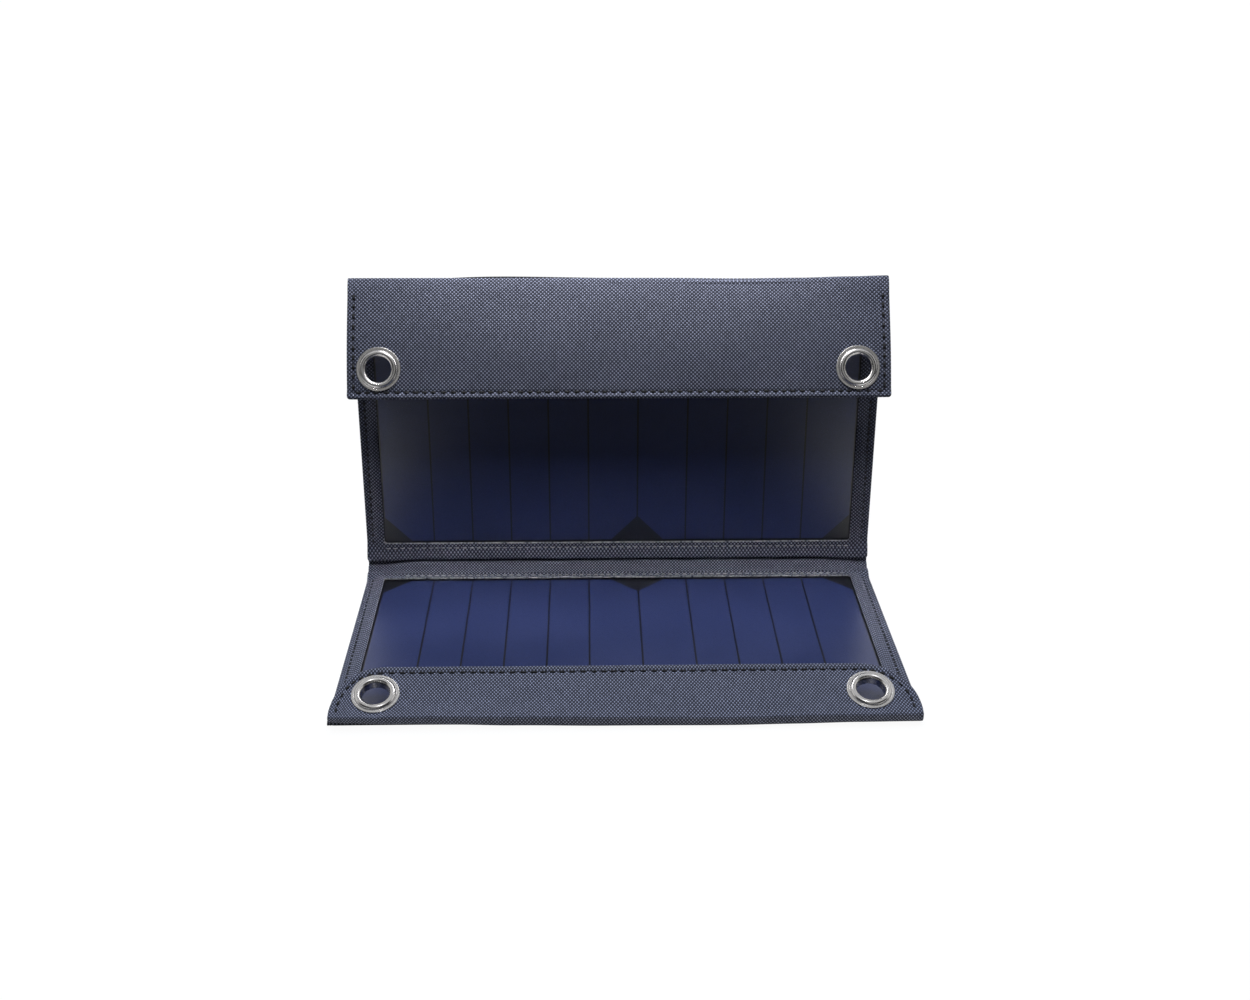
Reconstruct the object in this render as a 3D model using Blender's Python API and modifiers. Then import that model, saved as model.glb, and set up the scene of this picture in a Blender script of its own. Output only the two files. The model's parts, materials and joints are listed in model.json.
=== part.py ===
import math

import bmesh
import bpy
from mathutils import Matrix, Vector

# Sizes in metres and angles in degrees. +X is right, +Y away from the viewer, +Z up.
# The origin is the centre of the lower leaf's underside.

# Cell strips, cut from square wafers with clipped corners
CELL_LENGTH = 0.125
CELL_PITCH = 0.01923
END_CELL_PITCH = 0.02404
CELL_GAP = 0.0005
CELL_CHAMFER = 0.0126
GROUPS = (6, 5)

# Layers of a leaf
FABRIC = 0.0005
BOARD = 0.0012
CELL = 0.00025
FILM = 0.00025
LAYER_GAP = 0.0002

# Borders of a leaf
SIDE_BORDER = 0.0096
HINGE_BORDER = 0.0080
OUTER_BORDER = 0.0075
WINDOW_MARGIN = 0.0009
WINDOW_CORNER = 0.0015
LEAF_CORNER = 0.0030
SEAM_WIDTH = 0.0030
SEAM_SLOPE = 0.0012

# Main fold
FOLD_LIFT = 0.0007
FOLD_SETBACK = 0.0004
FOLD_REACH = 0.0076
FOLD_ANGLE = 90.0
CABLE_WIDTH = 0.007
CABLE_THICKNESS = 0.0008
CABLE_X = 0.080
TERMINAL = (0.014, 0.0030, 0.0014)

# Flaps
FLAP_LIFT = 0.0008
FLAP_SETBACK = 0.0010
FLAP_START = 0.0020
FLAP_OVERHANG = 0.0007
STIFFENER = 0.0005
STIFFENER_INSET = 0.0048
TOP_FLAP_LENGTH = 0.0550
TOP_FLAP_ANGLE = 24.0
TOP_FLAP_CORNER = 0.0015
FRONT_FLAP_LENGTH = 0.0275
FRONT_FLAP_ANGLE = 20.0
FRONT_FLAP_CORNER = 0.0240

# Eyelets
EYELET_HOLE = 0.0120
EYELET_RIM = 0.0204
EYELET_BAND = 0.0014
EYELET_SHEET = 0.00045
EYELET_DOME = 0.0013
WASHER = 0.0005
TOP_EYELET_FROM_SIDE = 0.0147
TOP_EYELET_FROM_EDGE = 0.0140
FRONT_EYELET_FROM_SIDE = 0.0207
FRONT_EYELET_FROM_AXIS = 0.0125

# Pocket and charge controller on the back of the upper leaf
POCKET_LEFT = -0.112
POCKET_RIGHT = 0.058
POCKET_PEAK = -0.050
POCKET_BOTTOM = 0.030
POCKET_SLACK = 0.0027
POCKET_BINDING = 0.0050
BINDING_THICKNESS = 0.0014
CASE = (0.056, 0.030, 0.0088)
CASE_WALL = 0.0010
CASE_LID = 0.0022
CASE_ABOVE_SEAM = 0.026
CASE_CORNER = 0.0025
CIRCUIT = 0.0010
SOCKET = (0.0132, 0.0120, 0.0051)
SOCKET_WALL = 0.0004
SOCKET_SPACING = 0.0220
TONGUE = (0.0110, 0.0085, 0.0016)

# Facets
CORNER_STEPS = 4
ROUND_STEPS = 28
FOLD_STEPS = 9

# Derived sizes
GROUP_WIDTHS = [2 * END_CELL_PITCH + (n - 2) * CELL_PITCH for n in GROUPS]
FIELD_WIDTH = sum(GROUP_WIDTHS)
LEAF_WIDTH = FIELD_WIDTH + 2 * SIDE_BORDER
LEAF_LENGTH = HINGE_BORDER + CELL_LENGTH + OUTER_BORDER
BOARD_BASE = FABRIC + LAYER_GAP
CELL_BASE = BOARD_BASE + BOARD + LAYER_GAP
FILM_BASE = CELL_BASE + CELL + LAYER_GAP
FRAME_BASE = FILM_BASE + FILM + LAYER_GAP
FACE = FRAME_BASE + FABRIC
BOARD_INSET = SEAM_WIDTH + SEAM_SLOPE + 0.0005
BACK = -(FACE + FOLD_LIFT)
FLAP_HALF = LEAF_WIDTH / 2 + FLAP_OVERHANG
FLAP_THICKNESS = 2 * FABRIC + STIFFENER + 2 * LAYER_GAP
BARREL = EYELET_HOLE / 2 + EYELET_SHEET
FABRIC_HOLE = BARREL + LAYER_GAP + 0.00005
WEB_HALF = LEAF_WIDTH / 2 - LEAF_CORNER
POCKET_BULGE = CASE[2] + POCKET_SLACK


def collection(name):
    """A new collection in the scene."""
    made = bpy.data.collections.new(name)
    bpy.context.scene.collection.children.link(made)
    return made


def material(name, colour, metallic, roughness):
    """A plain material with its own base colour."""
    made = bpy.data.materials.new(name)
    made.use_nodes = True
    shader = made.node_tree.nodes["Principled BSDF"]
    shader.inputs["Base Color"].default_value = (*colour, 1.0)
    shader.inputs["Metallic"].default_value = metallic
    shader.inputs["Roughness"].default_value = roughness
    return made


def hang(obj, parent, finish, place=None):
    """Puts an object in the part's collection, under a parent, at a place given in the parent's frame."""
    parts.objects.link(obj)
    obj.parent = parent
    if place is not None:
        obj.matrix_local = place
    if finish is not None:
        obj.data.materials.append(finish)
    return obj


def empty(name, parent, place):
    """An empty that carries the pieces of one moving group, with its origin on the joint's axis."""
    return hang(bpy.data.objects.new(name, None), parent, None, place)


def corner(cx, cy, radius, start, steps):
    """Points of a quarter circle, anticlockwise from the start angle."""
    turns = [math.radians(start + 90 * i / steps) for i in range(steps + 1)]
    return [(cx + radius * math.cos(t), cy + radius * math.sin(t)) for t in turns]


def rounded(x0, x1, y0, y1, near, far, breaks=()):
    """A rectangle with corner radius near at y0 and far at y1, with extra points on both sides at the breaks."""
    right = [(x1, y) for y in breaks]
    left = [(x0, y) for y in reversed(breaks)]
    n = CORNER_STEPS
    return (
        corner(x0 + near, y0 + near, near, 180, n)
        + corner(x1 - near, y0 + near, near, 270, n)
        + right
        + corner(x1 - far, y1 - far, far, 0, n)
        + corner(x0 + far, y1 - far, far, 90, n)
        + left
    )


def circle(cx, cy, radius):
    """Points of a circle."""
    turns = [2 * math.pi * i / ROUND_STEPS for i in range(ROUND_STEPS)]
    return [(cx + radius * math.cos(t), cy + radius * math.sin(t)) for t in turns]


def plate(name, loops, base, thickness, parent, finish, turn=None):
    """A flat piece: the first loop is its outline and the others are holes. It lies from base up."""
    outline = bpy.data.curves.new(name, "CURVE")
    outline.dimensions = "2D"
    outline.fill_mode = "BOTH"
    outline.extrude = thickness / 2
    for loop in loops:
        spline = outline.splines.new("POLY")
        spline.points.add(len(loop) - 1)
        for point, (x, y) in zip(spline.points, loop):
            point.co = (x, y, 0, 1)
        spline.use_cyclic_u = True
    lift = Matrix.Translation((0, 0, base + thickness / 2))
    place = lift if turn is None else turn @ lift
    return hang(bpy.data.objects.new(name, outline), parent, finish, place)


def mesh_object(name, bm, parent, finish, place=None):
    """An object that takes its mesh from a bmesh."""
    mesh = bpy.data.meshes.new(name)
    bm.to_mesh(mesh)
    bm.free()
    return hang(bpy.data.objects.new(name, mesh), parent, finish, place)


def solidify(obj, thickness):
    """Gives an open surface a thickness, half to each side."""
    shell = obj.modifiers.new("thickness", "SOLIDIFY")
    shell.thickness = thickness
    shell.offset = 0.0
    shell.use_even_offset = True
    return obj


def bezier(p0, p1, p2, p3, steps=FOLD_STEPS):
    """Points of a cubic curve in a plane."""
    path = []
    for i in range(steps + 1):
        t = i / steps
        a, b, c, d = (1 - t) ** 3, 3 * t * (1 - t) ** 2, 3 * t * t * (1 - t), t ** 3
        path.append(tuple(a * q0 + b * q1 + c * q2 + d * q3 for q0, q1, q2, q3 in zip(p0, p1, p2, p3)))
    return path


def band(name, path, thickness, centre, width, parent, finish):
    """A strip of even thickness that follows a path in the parent's Y and Z and runs along X."""
    left = []
    right = []
    for i, point in enumerate(path):
        before = Vector(path[max(i - 1, 0)])
        after = Vector(path[min(i + 1, len(path) - 1)])
        along = (after - before).normalized()
        side = Vector((-along.y, along.x)) * thickness / 2
        left.append(tuple(Vector(point) + side))
        right.append(tuple(Vector(point) - side))
    turn = Matrix(((0, 0, 1, centre), (1, 0, 0, 0), (0, 1, 0, 0), (0, 0, 0, 1)))
    return plate(name, [left + right[::-1]], -width / 2, width, parent, finish, turn)


def turned(name, profile, parent, finish, place):
    """A ring turned about its own Z from a closed profile of radius and height."""
    bm = bmesh.new()
    points = [bm.verts.new((r, 0, z)) for r, z in profile]
    for i, point in enumerate(points):
        bm.edges.new((point, points[(i + 1) % len(points)]))
    ring = mesh_object(name, bm, parent, finish, place)
    spin = ring.modifiers.new("turn", "SCREW")
    spin.angle = math.tau
    spin.steps = ROUND_STEPS
    spin.render_steps = ROUND_STEPS
    spin.use_merge_vertices = True
    spin.merge_threshold = 1e-6
    spin.use_normal_calculate = True
    return ring


def block(name, size, centre, parent, finish):
    """A rectangular block about a centre."""
    bm = bmesh.new()
    bmesh.ops.create_cube(bm, size=1.0)
    bmesh.ops.transform(bm, matrix=Matrix.Diagonal((*size, 1.0)), verts=bm.verts)
    return mesh_object(name, bm, parent, finish, Matrix.Translation(centre))


def prism(name, loop, base, thickness, parent, finish):
    """A solid with a flat outline, drawn up from its base, that other solids can be cut from."""
    bm = bmesh.new()
    face = bm.faces.new([bm.verts.new((x, y, base)) for x, y in loop])
    grown = bmesh.ops.extrude_face_region(bm, geom=[face])["geom"]
    risen = [v for v in grown if isinstance(v, bmesh.types.BMVert)]
    bmesh.ops.translate(bm, vec=(0, 0, thickness), verts=risen)
    bmesh.ops.recalc_face_normals(bm, faces=bm.faces)
    return mesh_object(name, bm, parent, finish)


def shape(obj, other, operation):
    """Cuts or joins another object into this one and keeps it with the cutters."""
    parts.objects.unlink(other)
    cutters.objects.link(other)
    other.hide_render = True
    other.display_type = "WIRE"
    step = obj.modifiers.new(other.name, "BOOLEAN")
    step.operation = operation
    step.object = other
    step.solver = "EXACT"
    return obj


def smooth(t):
    """Eases from 0 to 1."""
    t = min(max(t, 0.0), 1.0)
    return t * t * (3 - 2 * t)


def strips(flip):
    """Left edge, right edge and clipped sides of each cell strip across the leaf."""
    out = []
    x = -FIELD_WIDTH / 2
    for count in GROUPS:
        for i in range(count):
            ends = i in (0, count - 1)
            width = END_CELL_PITCH if ends else CELL_PITCH
            clip_left = i == 0
            clip_right = i == count - 1
            out.append((x + CELL_GAP / 2, x + width - CELL_GAP / 2, clip_left, clip_right))
            x += width
    if flip:
        out = [(-b, -a, right, left) for a, b, left, right in out]
    return out


def strip_outline(x0, x1, y0, y1, clip_left, clip_right):
    """A cell strip with its wafer's clipped corners."""
    c = CELL_CHAMFER
    if clip_left:
        left = [(x0 + c, y1), (x0, y1 - c), (x0, y0 + c), (x0 + c, y0)]
    else:
        left = [(x0, y1), (x0, y0)]
    if clip_right:
        right = [(x1 - c, y0), (x1, y0 + c), (x1, y1 - c), (x1 - c, y1)]
    else:
        right = [(x1, y0), (x1, y1)]
    return left + right


def frame_surface(name, start, parent, finish):
    """The front fabric: a flat border with a window, brought down to a seam on three sides.

    On the fold's side it stays level, which leaves the way for the cable between the leaves.
    """
    half = LEAF_WIDTH / 2
    top = BACK + FRAME_BASE + FABRIC / 2
    low = BACK + FABRIC + LAYER_GAP + FABRIC / 2
    level = start + LEAF_CORNER + 0.001
    down = level + 0.010

    def loop(inset, height):
        near = max(LEAF_CORNER - inset, WINDOW_CORNER)
        flat = rounded(
            -half + inset, half - inset, start + inset, start + LEAF_LENGTH - inset, near, near, (level + 0.004, down)
        )
        drop = [smooth((y - level) / (down - level)) for x, y in flat]
        return [(x, y, top + (height - top) * d) for (x, y), d in zip(flat, drop)]

    window = rounded(
        -FIELD_WIDTH / 2 - WINDOW_MARGIN,
        FIELD_WIDTH / 2 + WINDOW_MARGIN,
        start + HINGE_BORDER - WINDOW_MARGIN,
        start + HINGE_BORDER + CELL_LENGTH + WINDOW_MARGIN,
        WINDOW_CORNER,
        WINDOW_CORNER,
        (start + HINGE_BORDER + 0.006, start + HINGE_BORDER + 0.012),
    )
    loops = [loop(0, low), loop(SEAM_WIDTH, low), loop(SEAM_WIDTH + SEAM_SLOPE, top)]
    loops.append([(x, y, top) for x, y in window])
    bm = bmesh.new()
    rings = [[bm.verts.new(p) for p in points] for points in loops]
    for outer, inner in zip(rings, rings[1:]):
        for i in range(len(outer)):
            j = (i + 1) % len(outer)
            bm.faces.new((outer[i], outer[j], inner[j], inner[i]))
    return solidify(mesh_object(name, bm, parent, finish), FABRIC)


def build_leaf(prefix, start, parent, flip):
    """One leaf in a frame with the fold's axis as X, the leaf along +Y and its face towards +Z."""
    half = LEAF_WIDTH / 2
    end = start + LEAF_LENGTH
    outer = rounded(-half, half, start, end, LEAF_CORNER, LEAF_CORNER)
    plate(prefix + "_back_cover", [outer], BACK, FABRIC, parent, canvas)
    frame_surface(prefix + "_front_frame", start, parent, canvas)
    i = BOARD_INSET
    inner = rounded(-half + i, half - i, start + i, end - i, WINDOW_CORNER, WINDOW_CORNER)
    plate(prefix + "_backing_board", [inner], BACK + BOARD_BASE, BOARD, parent, backsheet)
    i = BOARD_INSET + LAYER_GAP
    clear = rounded(-half + i, half - i, start + i, end - i, WINDOW_CORNER, WINDOW_CORNER)
    plate(prefix + "_front_film", [clear], BACK + FILM_BASE, FILM, parent, film)
    y0 = start + HINGE_BORDER
    for number, (x0, x1, left, right) in enumerate(strips(flip), 1):
        outline = strip_outline(x0, x1, y0, y0 + CELL_LENGTH, left, right)
        plate("%s_cell_%02d" % (prefix, number), [outline], BACK + CELL_BASE, CELL, parent, silicon)
    x = -CABLE_X if flip else CABLE_X
    y = start + BOARD_INSET - 0.0003 - TERMINAL[1] / 2
    z = BACK + FABRIC + LAYER_GAP + TERMINAL[2] / 2
    block(prefix + "_terminal", TERMINAL, (x, y, z), parent, plastic)


def flap_place(start, angle):
    """Where a flap's frame sits on its leaf: X on the fold, Y along the flap, Z out of its cover."""
    t = math.radians(angle)
    s, c = math.sin(t), math.cos(t)
    y = start + LEAF_LENGTH + FLAP_SETBACK
    z = FLAP_LIFT - FOLD_LIFT
    return Matrix(((-1, 0, 0, 0), (0, -c, s, y), (0, s, c, z), (0, 0, 0, 1)))


def build_flap(prefix, parent, length, radius, eyelets, stiff):
    """A flap of two fabrics over a stiffener, with an eyelet and washer at each end."""
    outline = rounded(-FLAP_HALF, FLAP_HALF, FLAP_START, length, 0.0005, radius)
    holes = [circle(x, y, FABRIC_HOLE) for x, y in eyelets]
    x, y0, y1 = stiff
    core = rounded(-x, x, y0, y1, 0.001, 0.001)
    core_holes = [h for h, (cx, cy) in zip(holes, eyelets) if abs(cx) < x]
    base = FABRIC + LAYER_GAP
    plate(prefix + "_lining", [outline] + holes, 0.0, FABRIC, parent, canvas)
    plate(prefix + "_stiffener", [core] + core_holes, base, STIFFENER, parent, plastic)
    base += STIFFENER + LAYER_GAP
    plate(prefix + "_cover", [outline] + holes, base, FABRIC, parent, canvas)
    short = prefix.replace("_flap", "")
    for side, (cx, cy) in zip(("left", "right"), eyelets):
        place = Matrix.Translation((cx, cy, 0))
        turned("%s_eyelet_%s" % (short, side), eyelet_profile(), parent, nickel, place)
        turned("%s_washer_%s" % (short, side), washer_profile(), parent, nickel, place)


def eyelet_profile():
    """The eyelet's section: a barrel with a domed rim outside and its end rolled over the washer."""
    hole = EYELET_HOLE / 2
    rim = EYELET_RIM / 2
    seat = FLAP_THICKNESS + LAYER_GAP
    band_in = rim - EYELET_BAND
    crown = seat + EYELET_DOME
    step = (band_in - hole) / 6
    under = -(LAYER_GAP + WASHER + LAYER_GAP)
    roll = under - EYELET_SHEET
    return [
        (hole, under),
        (hole, crown - 0.55 * EYELET_DOME),
        (hole + 0.35 * step, crown - 0.2 * EYELET_DOME),
        (hole + 1.2 * step, crown),
        (hole + 2.6 * step, crown - 0.02 * EYELET_DOME),
        (hole + 4.4 * step, crown - 0.3 * EYELET_DOME),
        (band_in, seat + EYELET_SHEET),
        (rim - 0.0002, seat + EYELET_SHEET),
        (rim, seat + EYELET_SHEET - 0.0002),
        (rim, seat),
        (BARREL, seat),
        (BARREL, under),
        (BARREL + 0.0011, under),
        (BARREL + 0.0013, under - 0.5 * EYELET_SHEET),
        (BARREL + 0.0010, roll),
        (BARREL, roll - 0.0001),
        (hole + 0.0002, roll + 0.0001),
    ]


def washer_profile():
    """The washer's section under the lining."""
    top = -LAYER_GAP
    low = top - WASHER
    rim = EYELET_RIM / 2
    return [(FABRIC_HOLE, top), (FABRIC_HOLE, low), (rim - 0.0003, low), (rim, low + 0.0002), (rim, top)]


def pocket_depth(x, y):
    """How far the pocket stands off the back cover: nothing at its seams, most at the mouth."""
    if x < POCKET_PEAK:
        across = (POCKET_PEAK - x) / (POCKET_PEAK - POCKET_LEFT)
    else:
        across = (x - POCKET_PEAK) / (POCKET_RIGHT - POCKET_PEAK)
    hill = 1 - across ** 2.6
    up = (y - pocket_low) / (pocket_high - pocket_low)
    return POCKET_BULGE * hill * smooth(up / 0.22) * (0.93 + 0.07 * up)


def pocket_piece(name, y0, y1, rows, thickness, finish):
    """A piece of the pocket's bulged wall between two heights on the leaf."""
    columns = 26
    bm = bmesh.new()
    grid = []
    for j in range(rows + 1):
        y = y0 + (y1 - y0) * j / rows
        row = []
        for i in range(columns + 1):
            x = POCKET_LEFT + (POCKET_RIGHT - POCKET_LEFT) * i / columns
            z = BACK - LAYER_GAP - BINDING_THICKNESS / 2 - pocket_depth(x, y)
            row.append(bm.verts.new((x, y, z)))
        grid.append(row)
    for low, high in zip(grid, grid[1:]):
        for i in range(columns):
            bm.faces.new((low[i], low[i + 1], high[i + 1], high[i]))
    return solidify(mesh_object(name, bm, upper, finish), thickness)


def build_controller():
    """The charge controller in the pocket: a cased circuit with two sockets towards the mouth."""
    w, h, d = CASE
    y = pocket_low + CASE_ABOVE_SEAM + h / 2
    near = BACK - LAYER_GAP
    far = near - d
    split = far + CASE_LID
    x0, x1 = POCKET_PEAK - w / 2, POCKET_PEAK + w / 2
    y0, y1 = y - h / 2, y + h / 2
    wall = CASE_WALL
    outer = rounded(x0, x1, y0, y1, CASE_CORNER, CASE_CORNER)
    inner_radius = CASE_CORNER - wall
    inner = rounded(x0 + wall, x1 - wall, y0 + wall, y1 - wall, inner_radius, inner_radius)
    depth = near - split
    base = prism("controller_base", outer, split, depth, upper, plastic)
    room = prism("controller_room", inner, split - wall, depth, upper, None)
    shape(base, room, "DIFFERENCE")
    lid = prism("controller_lid", outer, far, CASE_LID - LAYER_GAP, upper, plastic)
    recess = prism("controller_recess", inner, far + wall, CASE_LID, upper, None)
    shape(lid, recess, "DIFFERENCE")
    floor = near - wall - LAYER_GAP - CIRCUIT
    g = 0.0004
    board = rounded(
        x0 + wall + g, x1 - wall - g, y0 + wall + g, y1 - wall - g - 0.0005, inner_radius, inner_radius
    )
    plate("controller_board", [board], floor, CIRCUIT, upper, circuit)
    sw, sl, sh = SOCKET
    top = floor - LAYER_GAP
    middle = top - sh / 2
    for side, sign in (("left", -1), ("right", 1)):
        cx = POCKET_PEAK + sign * SOCKET_SPACING / 2
        cy = y1 - sl / 2
        port = block("port_" + side, (sw + 2 * g, 4 * wall, sh + 2 * g), (cx, y1, middle), upper, None)
        shape(base, port, "DIFFERENCE")
        shape(lid, port_copy(port, side), "DIFFERENCE")
        socket = block("usb_socket_" + side, SOCKET, (cx, cy, middle), upper, nickel)
        inside = (sw - 2 * SOCKET_WALL, sl, sh - 2 * SOCKET_WALL)
        mouth = block("mouth_" + side, inside, (cx, cy + 2 * SOCKET_WALL, middle), upper, None)
        shape(socket, mouth, "DIFFERENCE")
        tw, tl, th = TONGUE
        back = cy - sl / 2 + SOCKET_WALL
        tongue = block("tongue_" + side, TONGUE, (cx, back + tl / 2, middle + sh * 0.16), upper, None)
        shape(socket, tongue, "UNION")


def port_copy(port, side):
    """A second cutter of the same shape, for the lid."""
    again = port.copy()
    again.data = port.data.copy()
    again.name = "lid_port_" + side
    again.hide_render = False
    parts.objects.link(again)
    return again


for old in list(bpy.data.objects):
    bpy.data.objects.remove(old, do_unlink=True)
parts = collection("folding_solar_panel")
cutters = collection("cutters")

canvas = material("canvas", (0.020, 0.021, 0.027), 0.0, 0.8)
backsheet = material("backsheet", (0.006, 0.006, 0.008), 0.0, 0.45)
silicon = material("silicon", (0.008, 0.011, 0.028), 0.0, 0.3)
film = material("film", (0.75, 0.78, 0.82), 0.0, 0.25)
plastic = material("plastic", (0.015, 0.015, 0.016), 0.0, 0.5)
nickel = material("nickel", (0.55, 0.56, 0.60), 1.0, 0.2)
circuit = material("circuit", (0.01, 0.07, 0.03), 0.0, 0.4)

# The two leaves, each in a frame on the axis of the main fold
axis = Matrix.Translation((0, LEAF_LENGTH / 2 + FOLD_SETBACK, FACE + FOLD_LIFT))
lower = empty("lower_leaf", None, axis @ Matrix.Rotation(math.pi, 4, "Z"))
upper = empty("upper_leaf", None, axis @ Matrix.Rotation(math.radians(180 - FOLD_ANGLE), 4, "X"))
build_leaf("lower", FOLD_SETBACK, lower, True)
build_leaf("upper", FOLD_REACH, upper, False)

# The flaps, each in a frame on the axis of its own fold
top_flap = empty("top_flap", upper, flap_place(FOLD_REACH, TOP_FLAP_ANGLE))
front_flap = empty("front_flap", lower, flap_place(FOLD_SETBACK, FRONT_FLAP_ANGLE))
side = FLAP_HALF - TOP_EYELET_FROM_SIDE
row = TOP_FLAP_LENGTH - TOP_EYELET_FROM_EDGE
top_core = (FLAP_HALF - STIFFENER_INSET, FLAP_START + STIFFENER_INSET, TOP_FLAP_LENGTH - STIFFENER_INSET)
build_flap("top_flap", top_flap, TOP_FLAP_LENGTH, TOP_FLAP_CORNER, [(side, row), (-side, row)], top_core)
side = FLAP_HALF - FRONT_EYELET_FROM_SIDE
row = FRONT_EYELET_FROM_AXIS
reach = side - EYELET_RIM / 2 - 0.001
front_core = (reach, FLAP_START + STIFFENER_INSET, FRONT_FLAP_LENGTH - STIFFENER_INSET)
build_flap("front_flap", front_flap, FRONT_FLAP_LENGTH, FRONT_FLAP_CORNER, [(-side, row), (side, row)], front_core)

# Fabric and cable that bend at the folds, drawn in the plane across the fold
world = empty("folds", None, Matrix.Identity(4))
G = LAYER_GAP + 0.00005


def across(frame, x, y, z):
    """A point of a frame in the plane across the fold, as Y and Z of the part."""
    point = frame @ Vector((x, y, z))
    return (point.y, point.z)


bpy.context.view_layer.update()
low_m = lower.matrix_world.copy()
up_m = upper.matrix_world.copy()
front_z = BACK + FRAME_BASE + FABRIC / 2
back_z = BACK + FABRIC / 2
band(
    "hinge_lining",
    bezier(
        across(low_m, 0, FOLD_SETBACK - G, front_z),
        across(low_m, 0, FOLD_SETBACK - G - 0.0010, front_z),
        across(up_m, 0, FOLD_REACH - G - 0.0040, front_z),
        across(up_m, 0, FOLD_REACH - G, front_z),
    ),
    FABRIC,
    0.0,
    2 * WEB_HALF,
    world,
    canvas,
)
band(
    "hinge_cover",
    bezier(
        across(low_m, 0, FOLD_SETBACK - G, back_z + 0.0001),
        across(low_m, 0, FOLD_SETBACK - G - 0.0040, back_z + 0.0001),
        across(up_m, 0, FOLD_REACH - G - 0.0080, back_z),
        across(up_m, 0, FOLD_REACH - G, back_z),
    ),
    FABRIC,
    0.0,
    2 * WEB_HALF,
    world,
    canvas,
)
cable_z = BACK + FABRIC + LAYER_GAP + TERMINAL[2] / 2
lead = BOARD_INSET - 0.0003 - TERMINAL[1] - G
band(
    "link_cable",
    bezier(
        across(low_m, 0, FOLD_SETBACK + lead, cable_z),
        across(low_m, 0, FOLD_SETBACK + lead - 0.0040, cable_z),
        across(up_m, 0, FOLD_REACH + lead - 0.0090, cable_z),
        across(up_m, 0, FOLD_REACH + lead, cable_z),
    ),
    CABLE_THICKNESS,
    CABLE_X,
    CABLE_WIDTH,
    world,
    plastic,
)
cover_z = FLAP_THICKNESS - FABRIC / 2
for name, leaf_m, flap, start in (
    ("top_flap_fold", up_m, top_flap, FOLD_REACH),
    ("front_flap_fold", low_m, front_flap, FOLD_SETBACK),
):
    flap_m = flap.matrix_world.copy()
    end = start + LEAF_LENGTH
    band(
        name,
        bezier(
            across(leaf_m, 0, end + G, back_z + 0.0001),
            across(leaf_m, 0, end + G + 0.0030, back_z + 0.0001),
            across(flap_m, 0, FLAP_START - G - 0.0032, cover_z),
            across(flap_m, 0, FLAP_START - G, cover_z),
        ),
        FABRIC,
        0.0,
        2 * WEB_HALF,
        world,
        canvas,
    )

# The pocket on the upper leaf's back, with the controller inside
pocket_low = FOLD_REACH + POCKET_BOTTOM
pocket_high = FOLD_REACH + LEAF_LENGTH
edge = pocket_high - POCKET_BINDING
pocket_piece("back_pocket", pocket_low, edge - G, 14, FABRIC, canvas)
pocket_piece("pocket_binding", edge, pocket_high, 2, BINDING_THICKNESS, canvas)
build_controller()
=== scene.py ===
"""Looks for the folding solar panel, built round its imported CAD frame.

Lengths are worked out in millimetres and put into the meshes in metres.
"""

import json
import math

import bpy
import numpy as np
from mathutils import Matrix, Vector


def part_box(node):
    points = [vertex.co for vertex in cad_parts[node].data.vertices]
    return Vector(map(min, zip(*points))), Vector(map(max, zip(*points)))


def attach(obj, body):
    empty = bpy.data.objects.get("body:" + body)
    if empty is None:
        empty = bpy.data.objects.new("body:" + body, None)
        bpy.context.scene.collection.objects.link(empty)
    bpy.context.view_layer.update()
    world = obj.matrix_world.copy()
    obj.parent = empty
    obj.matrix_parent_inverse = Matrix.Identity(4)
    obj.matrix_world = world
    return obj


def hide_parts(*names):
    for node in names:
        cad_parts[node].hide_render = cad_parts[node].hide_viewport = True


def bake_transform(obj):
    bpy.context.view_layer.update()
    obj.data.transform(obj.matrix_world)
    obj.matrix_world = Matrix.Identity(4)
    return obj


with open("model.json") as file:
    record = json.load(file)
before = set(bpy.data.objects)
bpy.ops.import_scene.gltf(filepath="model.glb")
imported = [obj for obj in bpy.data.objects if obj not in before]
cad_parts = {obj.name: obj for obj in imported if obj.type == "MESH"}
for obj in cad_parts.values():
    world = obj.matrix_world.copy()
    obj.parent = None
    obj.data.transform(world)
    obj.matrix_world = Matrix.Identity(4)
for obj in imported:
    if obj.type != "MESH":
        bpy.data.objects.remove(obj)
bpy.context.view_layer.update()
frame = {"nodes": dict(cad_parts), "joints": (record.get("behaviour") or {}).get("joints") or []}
nodes = frame["nodes"]
MM = 0.001


def box_mm(node):
    """A CAD node's lowest and highest corner in millimetres."""
    return [np.array(corner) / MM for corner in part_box(node)]


# The leaves, from the CAD boxes
lower_cover = box_mm("lower_back_cover")
upper_cover = box_mm("upper_back_cover")
HALF = lower_cover[1][0]
Y_HINGE = lower_cover[1][1]
Y_BACK = upper_cover[1][1]
Z_HINGE = upper_cover[0][2]
Z_TOP = upper_cover[1][2]
LEAF = upper_cover[1][2] - upper_cover[0][2]
FILM_TOP = box_mm("lower_front_film")[1][2]
FACE = box_mm("lower_front_frame")[1][2]
CELLS_X = box_mm("lower_cell_11")[1][0]
CELLS_NEAR = Y_HINGE - box_mm("lower_cell_01")[1][1]
CELLS_FAR = Y_HINGE - box_mm("lower_cell_01")[0][1]
LEAF_CORNER = 3.0
HINGE_CORNER = 1.0
WINDOW_MARGIN = 0.9
WINDOW_CORNER = 1.5
SEAM_STRIP = 0.8
WINDOW_THREAD = 0.32
SEAM = 3.3

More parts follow.
